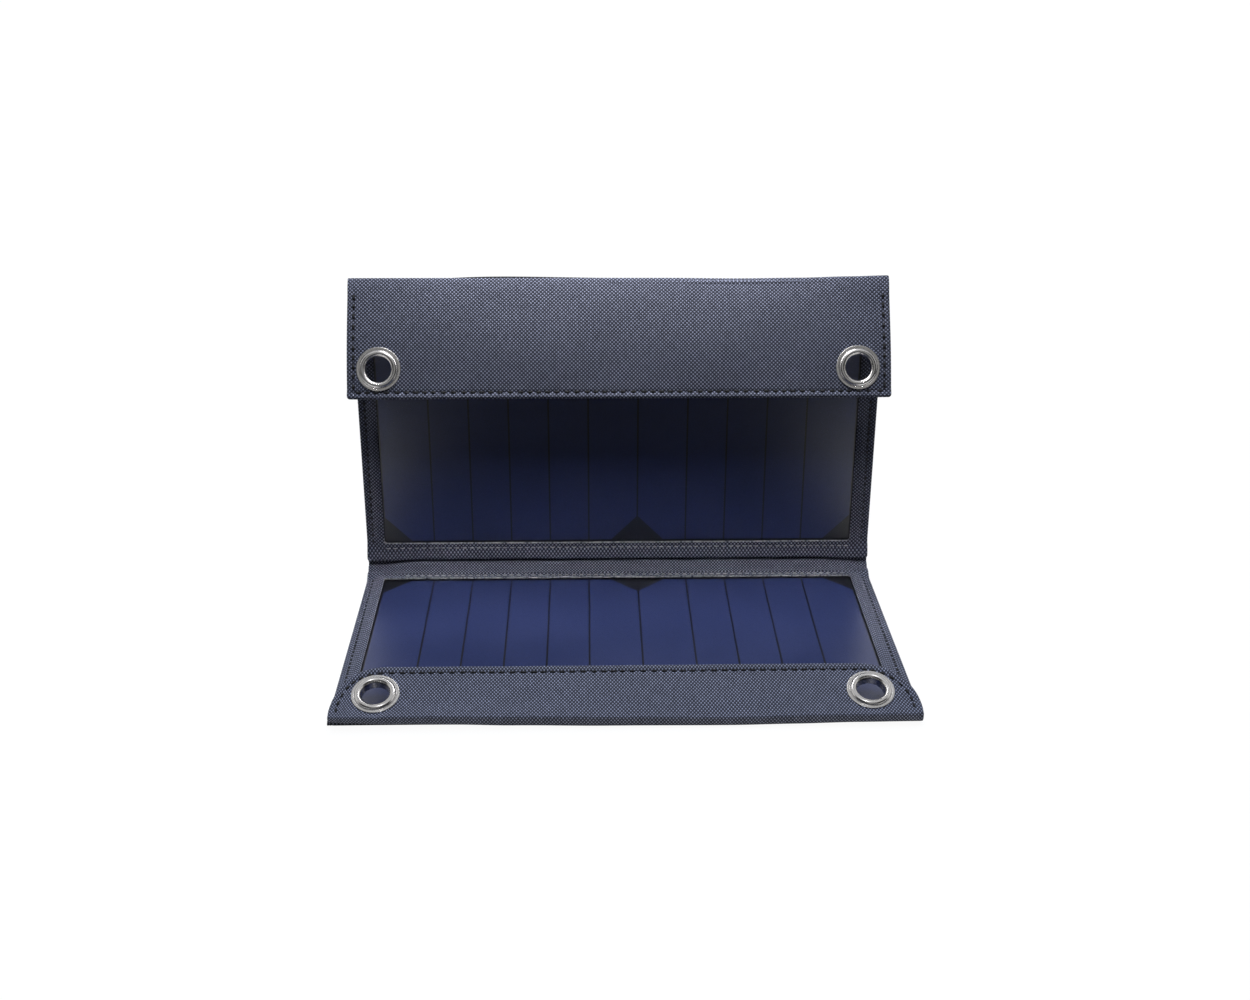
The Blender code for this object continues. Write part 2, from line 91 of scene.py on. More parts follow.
# The flaps: fold axis, tilt and cut
axes = {j["name"]: np.array(j["pos_m"]) / MM for j in frame["joints"]}
TOP_TILT = math.radians(24)
FRONT_TILT = math.radians(20)
TOP = {
    "axis": axes["top_flap_fold"][1:],
    "down": np.array([-math.sin(TOP_TILT), -math.cos(TOP_TILT)]),
    "out": np.array([-math.cos(TOP_TILT), math.sin(TOP_TILT)]),
    "length": 55.0,
    "corner": 1.5,
    "stitch": 3.1,
    "join": 17.0,
    "bow": 4.5,
    "fold_rows": 26,
    "eyelets": [(-110.985, 41.0), (110.985, 41.0)],
    "ripple": (0.22, 0.8),
    "spread": (0.0, 0.9),
    "flare": 0.75,
    "yarns": (0.87, 0.87),
}
FRONT = {
    "axis": axes["front_flap_fold"][1:],
    "down": np.array([math.cos(FRONT_TILT), math.sin(FRONT_TILT)]),
    "out": np.array([-math.sin(FRONT_TILT), math.cos(FRONT_TILT)]),
    "length": 27.5,
    "corner": 24.0,
    "stitch": 3.5,
    "join": 0.2,
    "bow": 0.0,
    "fold_rows": 36,
    "eyelets": [(-104.985, 12.5), (104.985, 12.5)],
    "ripple": (0.18, 3.1),
    "spread": (2.0, 0.0),
    "flare": 0.3,
    "yarns": (1.04, 0.80),
}
FLAP_HALF = box_mm("top_flap_cover")[1][0]
FLAP_THICK = 1.9
BOW_ROW = 41.0  # the row of a flap about which its face is bowed
SPREAD_FROM, SPREAD_OVER = 112.0, 13.7  # from this x outwards, over this width, a flap's sides are shifted
EYELET_CUT = 7.1  # radius of the hole cut in a flap for its eyelet

# The pocket on the upper leaf's back
POCKET_LEFT, POCKET_RIGHT, POCKET_PEAK = -112.0, 58.0, -50.0
POCKET_LOW = Z_HINGE + 30.0
POCKET_BULGE = 11.5

# How far cloth edges stand off the straight, as (x, height) knots:
# the lower leaf's front seam above the floor, the front flap's crease and the top fold's crest
FRONT_SEAM = [
    (-126, 3.9),
    (-117, 3.2),
    (-98, 2.3),
    (-72, 1.7),
    (-46, 1.0),
    (-8, 0.45),
    (45, 0.25),
    (72, 0.6),
    (98, 1.2),
    (126, 1.4),
]
FRONT_CREASE = [(-126, 1.0), (-115, 0.8), (-80, 1.0), (-45, 0.5), (0, 0.0), (45, -0.6), (83, 0.2), (126, 0.4)]
TOP_CREST = [(-126, 0.0), (-30, -0.1), (20, -0.35), (57, -0.85), (84, -0.5), (108, 0.35), (126, 1.0)]


# ---------------------------------------------------------------- numbers


def smooth(t):
    """Ease from 0 to 1: three t squared less two t cubed, with t held between 0 and 1."""
    t = np.clip(t, 0.0, 1.0)
    return t * t * (3.0 - 2.0 * t)


def dent(d, place, width):
    """A bell of height 1 where d equals place."""
    return np.exp(-(((d - place) / width) ** 2))


def roll(d, radius):
    """The quarter round of a turned edge: 0 at the edge, 1 from one radius in."""
    t = np.clip(d / radius, 0.0, 1.0)
    return np.sqrt(np.maximum(0.0, 1.0 - (1.0 - t) ** 2))


def ripple(x, y, seed):
    """A soft unevenness of about plus or minus one: three crossed sine waves."""
    return (
        np.sin(x / 13.0 + 1.7 * seed) * np.sin(y / 9.0 + seed)
        + 0.6 * np.sin(x / 27.0 - y / 17.0 + 2.3 * seed)
        + 0.4 * np.sin(x / 6.1 + y / 7.3 + 0.9 * seed)
    ) / 1.6


def eased(x, knots):
    """A value along x that goes from knot to knot in smooth steps. knots lists (place, value)."""
    place, value = np.array(knots, float).T
    i = np.clip(np.searchsorted(place, x) - 1, 0, len(place) - 2)
    t = smooth((x - place[i]) / (place[i + 1] - place[i]))
    return value[i] * (1 - t) + value[i + 1] * t


EDGE_LINES = np.array([0.0, 0.1, 0.3, 0.6, 1.0, 1.6, 2.2, 2.6, 2.9, 3.2, 3.5, 3.8, 4.2, 4.8, 5.6])


def lines(low, high, step):
    """Grid lines from low to high: close together at both edges, a step apart between."""
    inner_low, inner_high = low + EDGE_LINES[-1], high - EDGE_LINES[-1]
    middle = np.linspace(inner_low, inner_high, max(2, int(round((inner_high - inner_low) / step)) + 1))
    return np.concatenate([low + EDGE_LINES[:-1], middle, high - EDGE_LINES[-2::-1]])


def curve(points, steps):
    """A cubic Bezier curve through four points, as an array of its points."""
    t = np.linspace(0.0, 1.0, steps)[:, None]
    p = np.array(points, float)
    return (1 - t) ** 3 * p[0] + 3 * (1 - t) ** 2 * t * p[1] + 3 * (1 - t) * t**2 * p[2] + t**3 * p[3]


def arc_length(path):
    """Distance along a path of points, starting at 0."""
    return np.concatenate([[0.0], np.cumsum(np.linalg.norm(np.diff(path, axis=0), axis=1))])


def left_normal(path):
    """Unit normals of a plane path, a quarter turn to the left of its direction."""
    run = np.gradient(path, axis=0)
    run /= np.linalg.norm(run, axis=1)[:, None]
    return np.stack([-run[:, 1], run[:, 0]], 1)


def on_lower(x, v, w):
    """Points of the lower leaf: v from its hinge edge forwards, w up from its underside.

    Its front seam is turned up, and its right border widens a little towards the front.
    """
    rise = eased(x, FRONT_SEAM) * smooth((v - LEAF + 2.2) / 2.2)
    wider = (0.9 + 1.0 * v / LEAF) * smooth((x - CELLS_X - 2) / (HALF - CELLS_X - 2))
    return np.stack(np.broadcast_arrays(x + wider, Y_HINGE - v, w + rise), -1)


def on_upper(x, v, w):
    """Points of the upper leaf: v from its hinge edge upwards, w forwards from its back.

    Its right border is a little wider, and its hinge edge is drawn down, most at both ends.
    """
    wider = 0.55 * smooth((x - CELLS_X - 2) / (HALF - CELLS_X - 2))
    drawn = (1.6 + 0.7 * smooth((np.abs(x) - 98) / 20)) * (1 - smooth(v / 7))
    return np.stack(np.broadcast_arrays(x + wider, Y_BACK - w, Z_HINGE + v - drawn), -1)


# ---------------------------------------------------------------- meshes


def mesh_piece(name, points, faces, finish, flat=None, trim=None):
    """A mesh object from points in millimetres and faces of equal size, with up to two UV maps."""
    used, faces = np.unique(faces, return_inverse=True)
    faces = faces.reshape(-1, 4) if faces.size % 4 == 0 else faces
    mesh = bpy.data.meshes.new(name)
    mesh.from_pydata((points[used] * MM).tolist(), [], faces.tolist())
    for label, values in (("cloth", flat), ("trim", trim)):
        if values is not None:
            layer = mesh.uv_layers.new(name=label)
            corner = np.empty(len(mesh.loops), np.int32)
            mesh.loops.foreach_get("vertex_index", corner)
            layer.data.foreach_set("uv", (values[used][corner] * MM).astype(np.float32).ravel())
    mesh.polygons.foreach_set("use_smooth", np.ones(len(mesh.polygons), bool))
    mesh.materials.append(finish)
    mesh.validate()
    piece = bpy.data.objects.new(name, mesh)
    bpy.context.scene.collection.objects.link(piece)
    return piece


def cloth(name, face, back, flat, finish, keep=None, around=False, trim=None):
    """A cloth of two point grids, its face and its back, closed along every free edge.

    Each grid square becomes one quad on both sides, and each edge that only one square uses
    gets a side quad. flat is each point's place in the cut cloth, which the weave follows.
    """
    rows, columns = face.shape[:2]
    count = rows * columns
    index = np.arange(count).reshape(rows, columns)
    if around:
        index = np.hstack([index, index[:, :1]])
    quads = np.stack([index[:-1, :-1], index[:-1, 1:], index[1:, 1:], index[1:, :-1]], -1).reshape(-1, 4)
    if keep is not None:
        quads = quads[keep.reshape(-1)]
    p, q = face.reshape(-1, 3), back.reshape(-1, 3)
    across = np.cross(p[quads[:, 2]] - p[quads[:, 0]], p[quads[:, 3]] - p[quads[:, 1]])
    if np.sum(across * (p - q)[quads[:, 0]]) < 0:
        quads = quads[:, ::-1]
    edges = np.concatenate([quads[:, [i, (i + 1) % 4]] for i in range(4)])
    key = np.sort(edges, 1) @ np.array([count, 1])
    _, place, times = np.unique(key, return_index=True, return_counts=True)
    rim = edges[place[times == 1]]
    sides = np.stack([rim[:, 1], rim[:, 0], rim[:, 0] + count, rim[:, 1] + count], 1)
    faces = np.concatenate([quads, quads[:, ::-1] + count, sides])
    maps = [None if values is None else np.concatenate([values.reshape(-1, 2)] * 2) for values in (flat, trim)]
    return mesh_piece(name, np.concatenate([p, q]), faces, finish, *maps)


def turned(name, profile, centre, side, out, finish, steps=72):
    """A closed profile of (radius, height) turned about the line out through a centre."""
    turn = np.linspace(0.0, 2 * math.pi, steps, endpoint=False)
    side, out = np.array(side, float), np.array(out, float)
    other = np.cross(out, side)
    spoke = np.cos(turn)[:, None] * side + np.sin(turn)[:, None] * other
    r, h = np.array(profile, float).T
    points = np.array(centre) + r[:, None, None] * spoke[None] + h[:, None, None] * out
    ring = np.arange(len(r) * steps).reshape(len(r), steps)
    ring = np.vstack([ring, ring[:1]])
    ring = np.hstack([ring, ring[:, :1]])
    faces = np.stack([ring[:-1, :-1], ring[:-1, 1:], ring[1:, 1:], ring[1:, :-1]], -1).reshape(-1, 4)
    spin = np.sum(r * np.roll(h, -1) - np.roll(r, -1) * h)
    return mesh_piece(name, points.reshape(-1, 3), faces if spin < 0 else faces[:, ::-1], finish)


def thread(name, rows, finish, radius=0.5):
    """Stitches: each six rings of six points that bow out of the cloth and dip in at both ends.

    rows is a list of (places, directions, outward normals, stitch length).
    """
    along = np.array([-1.0, -0.72, -0.25, 0.25, 0.72, 1.0])
    thick = np.array([0.35, 0.85, 1.0, 1.0, 0.85, 0.35])
    lift = np.array([-0.6, 0.1, 0.45, 0.45, 0.1, -0.6])
    turn = np.linspace(0.0, 2 * math.pi, 6, endpoint=False)
    made = []
    for places, run, out, length in rows:
        side = np.cross(run, out)
        centre = (
            places[:, None, :]
            + run[:, None, :] * (along * length / 2)[None, :, None]
            + out[:, None, :] * (lift * radius)[None, :, None]
        )
        ring = np.cos(turn)[:, None] * side[:, None, None, :] + np.sin(turn)[:, None] * out[:, None, None, :]
        made.append((centre[:, :, None, :] + ring * (thick * radius)[None, :, None, None]).reshape(-1, 36, 3))
    points = np.concatenate(made)
    ring = np.arange(36).reshape(6, 6)
    ring = np.hstack([ring, ring[:, :1]])
    tube = np.stack([ring[:-1, :-1], ring[:-1, 1:], ring[1:, 1:], ring[1:, :-1]], -1).reshape(-1, 4)
    caps = np.array([[0, 1, 2, 3], [0, 3, 4, 5], [33, 32, 31, 30], [35, 34, 33, 30]])
    one = np.concatenate([tube[:, ::-1], caps])
    faces = (np.arange(len(points))[:, None, None] * 36 + one).reshape(-1, 4)
    return mesh_piece(name, points.reshape(-1, 3), faces, finish)


def stitch_row(start, end, pitch, seed=0):
    """Even places from start to end, a pitch apart, each shifted a little along the row."""
    start, end = np.array(start, float), np.array(end, float)
    span = np.linalg.norm(end - start)
    count = max(2, int(span / pitch))
    t = (np.arange(count) + 0.5) / count
    t = t + 0.12 / count * np.sin(7.1 * np.arange(count) + seed)
    return start + (end - start) * t[:, None], np.repeat(((end - start) / span)[None], count, 0)


# ---------------------------------------------------------------- materials


def node(tree, kind, inputs=None, **settings):
    """A shader node with its settings, and its inputs linked or filled in."""
    made = tree.nodes.new("ShaderNode" + kind)
    for key, value in settings.items():
        setattr(made, key, value)
    for key, value in (inputs or {}).items():
        if isinstance(value, bpy.types.NodeSocket):
            tree.links.new(value, made.inputs[key])
        else:
            made.inputs[key].default_value = value
    return made


def calc(tree, operation, *values):
    """A Math node's result."""
    return node(tree, "Math", dict(enumerate(values)), operation=operation).outputs[0]


def mixed(tree, factor, first, second, mode="MIX"):
    """A Mix node's colour."""
    return node(tree, "Mix", {0: factor, 6: first, 7: second}, data_type="RGBA", blend_type=mode).outputs[2]


def toned(tree, colour, tone):
    """A colour made lighter or darker by a value."""
    grey = node(tree, "CombineColor", {0: tone, 1: tone, 2: tone}).outputs[0]
    return mixed(tree, 1.0, colour, grey, "MULTIPLY")


def ranged(tree, value, low, high, out_low=0.0, out_high=1.0):
    """A Map Range node's eased result."""
    return node(
        tree, "MapRange", {0: value, 1: low, 2: high, 3: out_low, 4: out_high}, interpolation_type="SMOOTHSTEP"
    ).outputs[0]


def group(name, inputs, outputs):
    """An empty node group with named sockets, and its input and output nodes."""
    tree = bpy.data.node_groups.new(name, "ShaderNodeTree")
    for label, kind, value in inputs:
        socket = tree.interface.new_socket(label, in_out="INPUT", socket_type=kind)
        if value is not None:
            socket.default_value = value
    for label, kind in outputs:
        tree.interface.new_socket(label, in_out="OUTPUT", socket_type=kind)
    return tree, tree.nodes.new("NodeGroupInput").outputs, tree.nodes.new("NodeGroupOutput").inputs


def weave_group():
    """Plain weave: the yarn on top swaps from square to square, each yarn a half round that dips at its ends.

    Height is the yarn's surface. The second output paints a highlight on the tops of the lengthwise yarns that stand
    out, and paints shade on the crossing yarns and in the gaps.
    Tone varies softly over the cloth and from yarn to yarn.
    """
    tree, given, out = group(
        "plain_weave",
        [("Cloth", "NodeSocketVector", None), ("Yarns per Metre", "NodeSocketFloat", 1290.0)],
        [("Height", "NodeSocketFloat"), ("Painted Sheen", "NodeSocketFloat"), ("Tone", "NodeSocketFloat")],
    )
    drift = node(tree, "TexNoise", {"Vector": given["Cloth"], "Scale": 60.0, "Detail": 2.0}).outputs["Color"]
    drift = node(tree, "VectorMath", {0: drift, 1: (0.5, 0.5, 0.5)}, operation="SUBTRACT").outputs[0]
    drift = node(tree, "VectorMath", {0: drift, "Scale": 0.9}, operation="SCALE").outputs[0]
    yarns = node(tree, "VectorMath", {0: given["Cloth"], "Scale": given["Yarns per Metre"]}, operation="SCALE")
    yarns = node(tree, "VectorMath", {0: yarns.outputs[0], 1: drift}, operation="ADD").outputs[0]
    parts = node(tree, "SeparateXYZ", {0: yarns}).outputs
    column, row = (calc(tree, "FLOOR", parts[i]) for i in (0, 1))
    warp = calc(tree, "FLOORED_MODULO", calc(tree, "ADD", column, row), 2.0)
    square = []
    for i, start in ((0, column), (1, row)):
        t = calc(tree, "MULTIPLY_ADD", calc(tree, "SUBTRACT", parts[i], start), 2.0, -1.0)
        square.append(calc(tree, "MULTIPLY", t, t))
    tops = []
    for cross, along in ((square[0], square[1]), (square[1], square[0])):
        rounded = calc(tree, "SQRT", calc(tree, "MULTIPLY_ADD", cross, -0.95, 1.0))
        tops.append(calc(tree, "MULTIPLY", rounded, calc(tree, "MULTIPLY_ADD", along, -0.55, 1.0)))
    height = node(tree, "Mix", {0: warp, 2: tops[1], 3: tops[0]}).outputs[0]
    # Painted sheen: the raised tops of the lengthwise yarns are painted light as a highlight, and the crossing yarns
    # and gaps are painted dark as shade.
    proud = calc(tree, "MULTIPLY", tops[0], tops[0])
    painted_sheen = node(tree, "Mix", {0: warp, 2: calc(tree, "MULTIPLY", tops[1], 0.08), 3: proud}).outputs[0]
    pair = node(tree, "CombineXYZ", {0: column, 1: calc(tree, "MULTIPLY", row, 0.35)}).outputs[0]
    slub = node(tree, "TexNoise", {"Vector": pair, "Scale": 0.55, "Detail": 1.0}).outputs["Fac"]
    tree.links.new(height, out["Height"])
    tree.links.new(painted_sheen, out["Painted Sheen"])
    cloud = node(tree, "TexNoise", {"Vector": given["Cloth"], "Scale": 34.0, "Detail": 4.0}).outputs["Fac"]
    tone = calc(tree, "MULTIPLY_ADD", cloud, 0.30, 0.85)
    tone = calc(tree, "MULTIPLY", tone, calc(tree, "MULTIPLY_ADD", slub, 0.7, 0.65))
    tree.links.new(tone, out["Tone"])
    return tree


def mottle_group():
    """A fine speckle at a given scale, a wide cloud, and a blend of six parts speckle to four parts cloud."""
    tree, given, out = group(
        "fine_mottle",
        [("Place", "NodeSocketVector", None), ("Speckle Scale", "NodeSocketFloat", 1000.0)],
        [("Fine", "NodeSocketFloat"), ("Wide", "NodeSocketFloat"), ("Blend", "NodeSocketFloat")],
    )
    spot = {"Vector": given["Place"], "Scale": given["Speckle Scale"], "Detail": 3.0}
    fine = node(tree, "TexNoise", spot).outputs["Fac"]
    wide = node(tree, "TexNoise", {"Vector": given["Place"], "Scale": 45.0, "Detail": 2.0}).outputs["Fac"]
    blend = calc(tree, "MULTIPLY_ADD", fine, 0.6, calc(tree, "MULTIPLY", wide, 0.4))
    for label, value in (("Fine", fine), ("Wide", wide), ("Blend", blend)):
        tree.links.new(value, out[label])
    return tree


def material(name):
    """A new material with a Principled shader: its tree and that shader."""
    made = bpy.data.materials.new(name)
    made.use_nodes = True
    return made, made.node_tree, made.node_tree.nodes["Principled BSDF"]


def grouped(tree, kind, **inputs):
    """A node group placed in a tree, with its inputs linked or filled in by name."""
    made = tree.nodes.new("ShaderNodeGroup")
    made.node_tree = kind
    for key, value in inputs.items():
        socket = made.inputs[key.replace("_", " ")]
        if isinstance(value, bpy.types.NodeSocket):
            tree.links.new(value, socket)
        else:
            socket.default_value = value
    return made.outputs


def canvas_material(name, dark, light, raw_edge):
    """Woven canvas: yarn tops and gaps in two shades, the light one a painted highlight on the yarn tops and the dark
    one painted shade in the gaps, slubs, a soft unevenness, and a pale raw edge where wanted.
    """
    made, tree, shader = material(name)
    place = node(tree, "UVMap", uv_map="cloth").outputs[0]
    yarn = grouped(tree, WEAVE, Cloth=place)
    # The mix of the two colours paints a highlight on the raised yarn tops and shade in the gaps between yarns.
    colour = mixed(tree, yarn["Painted Sheen"], (*dark, 1.0), (*light, 1.0))
    colour = toned(tree, colour, yarn["Tone"])
    if raw_edge:
        trim = node(tree, "UVMap", uv_map="trim").outputs[0]
        from_edge = node(tree, "SeparateXYZ", {0: trim}).outputs[1]
        fray = node(tree, "TexNoise", {"Vector": trim, "Scale": 260.0, "Detail": 3.0}).outputs["Fac"]
        edge = ranged(tree, from_edge, 0.0003, 0.0009, 1.0, 0.0)
        edge = calc(tree, "MULTIPLY", edge, ranged(tree, fray, 0.35, 0.60, 0.10, 0.90))
        colour = mixed(tree, edge, colour, RAW_EDGE)
    tree.links.new(colour, shader.inputs["Base Color"])
    rough = calc(tree, "MULTIPLY_ADD", yarn["Height"], -0.12, 0.92)
    tree.links.new(rough, shader.inputs["Roughness"])
    shader.inputs["Specular IOR Level"].default_value = 0.3
    shader.inputs["Sheen Weight"].default_value = 0.12
    shader.inputs["Sheen Roughness"].default_value = 0.45
    bump = node(tree, "Bump", {"Height": yarn["Height"], "Strength": 0.7, "Distance": 0.00025})
    tree.links.new(bump.outputs[0], shader.inputs["Normal"])
    return made


def thread_material(name, dark, light):
    """Twisted thread, its twist a little lighter and darker along it."""
    made, tree, shader = material(name)
    place = node(tree, "TexCoord").outputs["Object"]
    twist = node(tree, "TexWave", {"Vector": place, "Scale": 700.0, "Distortion": 1.5}, bands_direction="DIAGONAL")
    colour = mixed(tree, twist.outputs["Fac"], (*dark, 1.0), (*light, 1.0))
    tree.links.new(colour, shader.inputs["Base Color"])
    shader.inputs["Roughness"].default_value = 0.62
    return made


def silicon_material():
    """Dark blue silicon behind glossy film: a fine grain and a slow change of blue along each strip."""
    made, tree, shader = material("blue_silicon")
    place = node(tree, "TexCoord").outputs["Object"]
    cloud = node(tree, "TexNoise", {"Vector": place, "Scale": 22.0, "Detail": 3.0}).outputs["Fac"]
    grain = node(tree, "TexNoise", {"Vector": place, "Scale": 1900.0, "Detail": 2.0}).outputs["Fac"]
    colour = mixed(tree, ranged(tree, cloud, 0.3, 0.7), (0.0190, 0.0290, 0.095, 1.0), (0.0225, 0.0335, 0.109, 1.0))
    colour = toned(tree, colour, ranged(tree, grain, 0.3, 0.7, 0.86, 1.14))
    tree.links.new(colour, shader.inputs["Base Color"])
    tree.links.new(ranged(tree, cloud, 0.3, 0.7, 0.30, 0.36), shader.inputs["Roughness"])
    shader.inputs["Specular IOR Level"].default_value = FILM_GLOSS
    return made


def film_material():
    """Clear film, with a faint haze: the gloss it gives is part of the finishes behind it."""
    made, tree, shader = material("clear_film")
    shader.inputs["Base Color"].default_value = (0.10, 0.10, 0.11, 1.0)
    shader.inputs["Roughness"].default_value = 0.3
    shader.inputs["Specular IOR Level"].default_value = 0.0
    shader.inputs["Alpha"].default_value = 0.02
    return made


def speckled_material(name, first, second, rough, scale, metallic=0.0, bump=0.0, gloss=0.5):
    """A plain finish with a fine mottle in its colour, roughness and surface."""
    made, tree, shader = material(name)
    place = node(tree, "TexCoord").outputs["Object"]
    mottle = grouped(tree, MOTTLE, Place=place, Speckle_Scale=scale)
    colour = mixed(tree, ranged(tree, mottle["Blend"], 0.35, 0.65), (*first, 1.0), (*second, 1.0))
    tree.links.new(colour, shader.inputs["Base Color"])
    tree.links.new(ranged(tree, mottle["Wide"], 0.3, 0.7, rough[0], rough[1]), shader.inputs["Roughness"])
    shader.inputs["Metallic"].default_value = metallic
    shader.inputs["Specular IOR Level"].default_value = gloss
    if bump:
        made_bump = node(tree, "Bump", {"Height": mottle["Fine"], "Strength": bump, "Distance": 0.0001})
        tree.links.new(made_bump.outputs[0], shader.inputs["Normal"])
    return made


WEAVE = weave_group()
MOTTLE = mottle_group()
FILM_GLOSS = 0.9
RAW_EDGE = (0.36, 0.35, 0.34, 1.0)
# The dark colour is the cloth's own dark with painted shade in the yarn gaps; the light colour is a painted highlight
# on the yarn tops.
YARN_DARK_AND_GAP_SHADE, YARN_LIGHT_AND_TOP_SHEEN = (0.010, 0.0105, 0.0165), (0.335, 0.352, 0.455)
canvas = canvas_material("grey_canvas", YARN_DARK_AND_GAP_SHADE, YARN_LIGHT_AND_TOP_SHEEN, False)
border_canvas = canvas_material("border_canvas", YARN_DARK_AND_GAP_SHADE, YARN_LIGHT_AND_TOP_SHEEN, True)
# The tape's two colours likewise paint a highlight on its yarn tops and shade in its gaps.
tape = canvas_material("black_tape", (0.004, 0.004, 0.005), (0.030, 0.029, 0.030), False)
black_thread = thread_material("black_thread", (0.003, 0.003, 0.004), (0.010, 0.010, 0.012))
grey_thread = thread_material("grey_thread", (0.26, 0.26, 0.27), (0.36, 0.36, 0.37))
silicon = silicon_material()
film = film_material()
backsheet = speckled_material(
    "black_backsheet", (0.004, 0.0045, 0.0065), (0.006, 0.0065, 0.010), (0.30, 0.36), 1400.0, gloss=FILM_GLOSS
)
black_plastic = speckled_material(
    "black_plastic", (0.016, 0.016, 0.017), (0.026, 0.026, 0.028), (0.42, 0.55), 2600.0, bump=0.25
)
nickel = speckled_material(
    "polished_nickel", (0.60, 0.585, 0.57), (0.66, 0.645, 0.63), (0.22, 0.28), 500.0, metallic=1.0
)
circuit = speckled_material("green_circuit", (0.006, 0.065, 0.022), (0.010, 0.085, 0.030), (0.3, 0.42), 800.0)

for label, thing in nodes.items():
    if "_cell_" in label:
        finish = silicon
    elif label.endswith("film"):
        finish = film
    elif label.endswith("board") and label.startswith(("lower", "upper")):
        finish = backsheet
    elif label == "controller_board":
        finish = circuit
    elif label.startswith("usb"):
        finish = nickel
    else:
        finish = black_plastic
    thing.data.materials.clear()
    thing.data.materials.append(finish)


# ---------------------------------------------------------------- leaf cloth


def rounded_loop(half, low, high, radii, across, along, corner):
    """Points round a rectangle with rounded corners, the same number on each side whatever its size.

    radii gives the radius of the two corners at low and of the two at high.
    """
    turn = np.linspace(0.0, math.pi / 2, corner + 1)
    arcs = []
    for x, y, first in ((half, low, -90), (half, high, 0), (-half, high, 90), (-half, low, 180)):
        radius = radii[0] if y == low else radii[1]
        centre = np.array([x - math.copysign(radius, x), y + (radius if y == low else -radius)])
        angle = math.radians(first) + turn
        arcs.append(centre + radius * np.stack([np.cos(angle), np.sin(angle)], 1))
    points = []
    for i, count in enumerate((along, across, along, across)):
        last, next_first = arcs[i][-1], arcs[(i + 1) % 4][0]
        t = np.linspace(0.0, 1.0, count, endpoint=False)[:, None]
        points += [arcs[i][:-1], last + (next_first - last) * t]
    return np.concatenate(points)


# Grid lines across a border, from its outline (0) to its window (1)
BORDER_T = np.concatenate(
    [
        [0, 0.012, 0.03, 0.06, 0.1, 0.16, 0.22, 0.28, 0.32, 0.35, 0.38, 0.41, 0.45],
        [0.5, 0.55, 0.62, 0.7, 0.78, 0.85, 0.9, 0.935, 0.96, 0.98, 0.992, 1.0],
    ]
)
BORDER_YARNS = 0.87


def leaf_border(name, place, seed):
    """The cloth round a leaf's window, between the leaf's outline and the window.

    Across it, from outside in: a turned edge, a flat sewn rim, a stitch groove, a step up on to the film,
    and a turned down edge at the window. Along the hinge it has no rim and rises slightly instead.
    """
    window = (CELLS_X + WINDOW_MARGIN, CELLS_NEAR - WINDOW_MARGIN, CELLS_FAR + WINDOW_MARGIN)
    outside = rounded_loop(HALF, 0.0, LEAF, (HINGE_CORNER, LEAF_CORNER), 150, 84, 8)
    inside = rounded_loop(*window, (WINDOW_CORNER, WINDOW_CORNER), 150, 84, 8)
    t = BORDER_T[:, None, None]
    flat = outside * (1 - t) + inside * t
    width = np.linalg.norm(inside - outside, axis=1)[None]
    x, v = flat[..., 0], flat[..., 1]
    edge = np.minimum(BORDER_T[:, None] * width, np.minimum(np.minimum(v, LEAF - v), HALF - np.abs(x)) + 0.6)
    edge = np.where(BORDER_T[:, None] == 0, 0.0, edge)
    inner = (1 - BORDER_T[:, None]) * width
    hinge = 1 - smooth((v - 2.0) / 6.0)
    rim_top = 0.62 + 1.85 * roll(edge, 1.1) - 0.35 * dent(edge, SEAM, 0.5)
    step_up = smooth((edge - 3.6) / 3.4)
    puff = 0.10 * np.sin(np.clip((edge - 4.0) / 4.5, 0, 1) * math.pi)
    rim = rim_top * (1 - step_up) + (FACE + puff) * step_up
    level = FACE + 0.75 * (1 - smooth(v / 7.0)) - 0.45 * (1 - roll(edge + 0.05, 0.5))
    w = rim * (1 - hinge) + level * hinge
    w = w - 0.62 * (1 - roll(inner, 0.55)) + 0.10 * ripple(x, v, seed) * roll(edge, 2.0) * roll(inner, 2.0)
    base_rim = 0.55 + (FILM_TOP + 0.06 - 0.55) * smooth((edge - 3.2) / 1.4)
    base = base_rim * (1 - hinge) + (level - 0.5) * hinge
    base = np.where(edge > 4.4, np.maximum(base, FILM_TOP + 0.05), base)
    base = np.minimum(base, w - 0.03)
    loop = arc_length(inside)
    covered = 0.55 * smooth((v - window[1] - 1.0) / 3.0)
    trim = np.stack([np.broadcast_to(loop[None], x.shape), inner + covered], -1)
    return cloth(name, place(x, v, w), place(x, v, base), flat * BORDER_YARNS, border_canvas, around=True, trim=trim)


def leaf_back(name, place, bulge, seed):
    """The cloth on a leaf's back: flat, with turned edges and a stitch groove along its outline."""
    x = lines(-HALF, HALF, 3.0)[None]
    t = lines(0.0, LEAF, 3.0)[:, None] / LEAF
    cut = []
    for radius in (HINGE_CORNER, LEAF_CORNER):
        past = np.clip(np.abs(x) - (HALF - radius), 0, radius)
        cut.append(radius - np.sqrt(radius**2 - past**2))
    v = cut[0] + t * (LEAF - cut[0] - cut[1])
    x = np.broadcast_to(x, v.shape)
    edge = np.minimum(HALF - np.abs(x), np.minimum(v - cut[0], LEAF - cut[1] - v))
    inside = np.full(v.shape, 0.5)
    outer = 0.24 * (1 - roll(edge, 0.6)) + 0.22 * dent(edge, SEAM, 0.5)
    outer = outer - bulge * (0.5 + 0.5 * ripple(x, v, seed)) * smooth((edge - 4.5) / 20)
    flat = np.stack([x, v], -1)
    return cloth(name, place(x, v, outer), place(x, v, inside), flat, canvas)


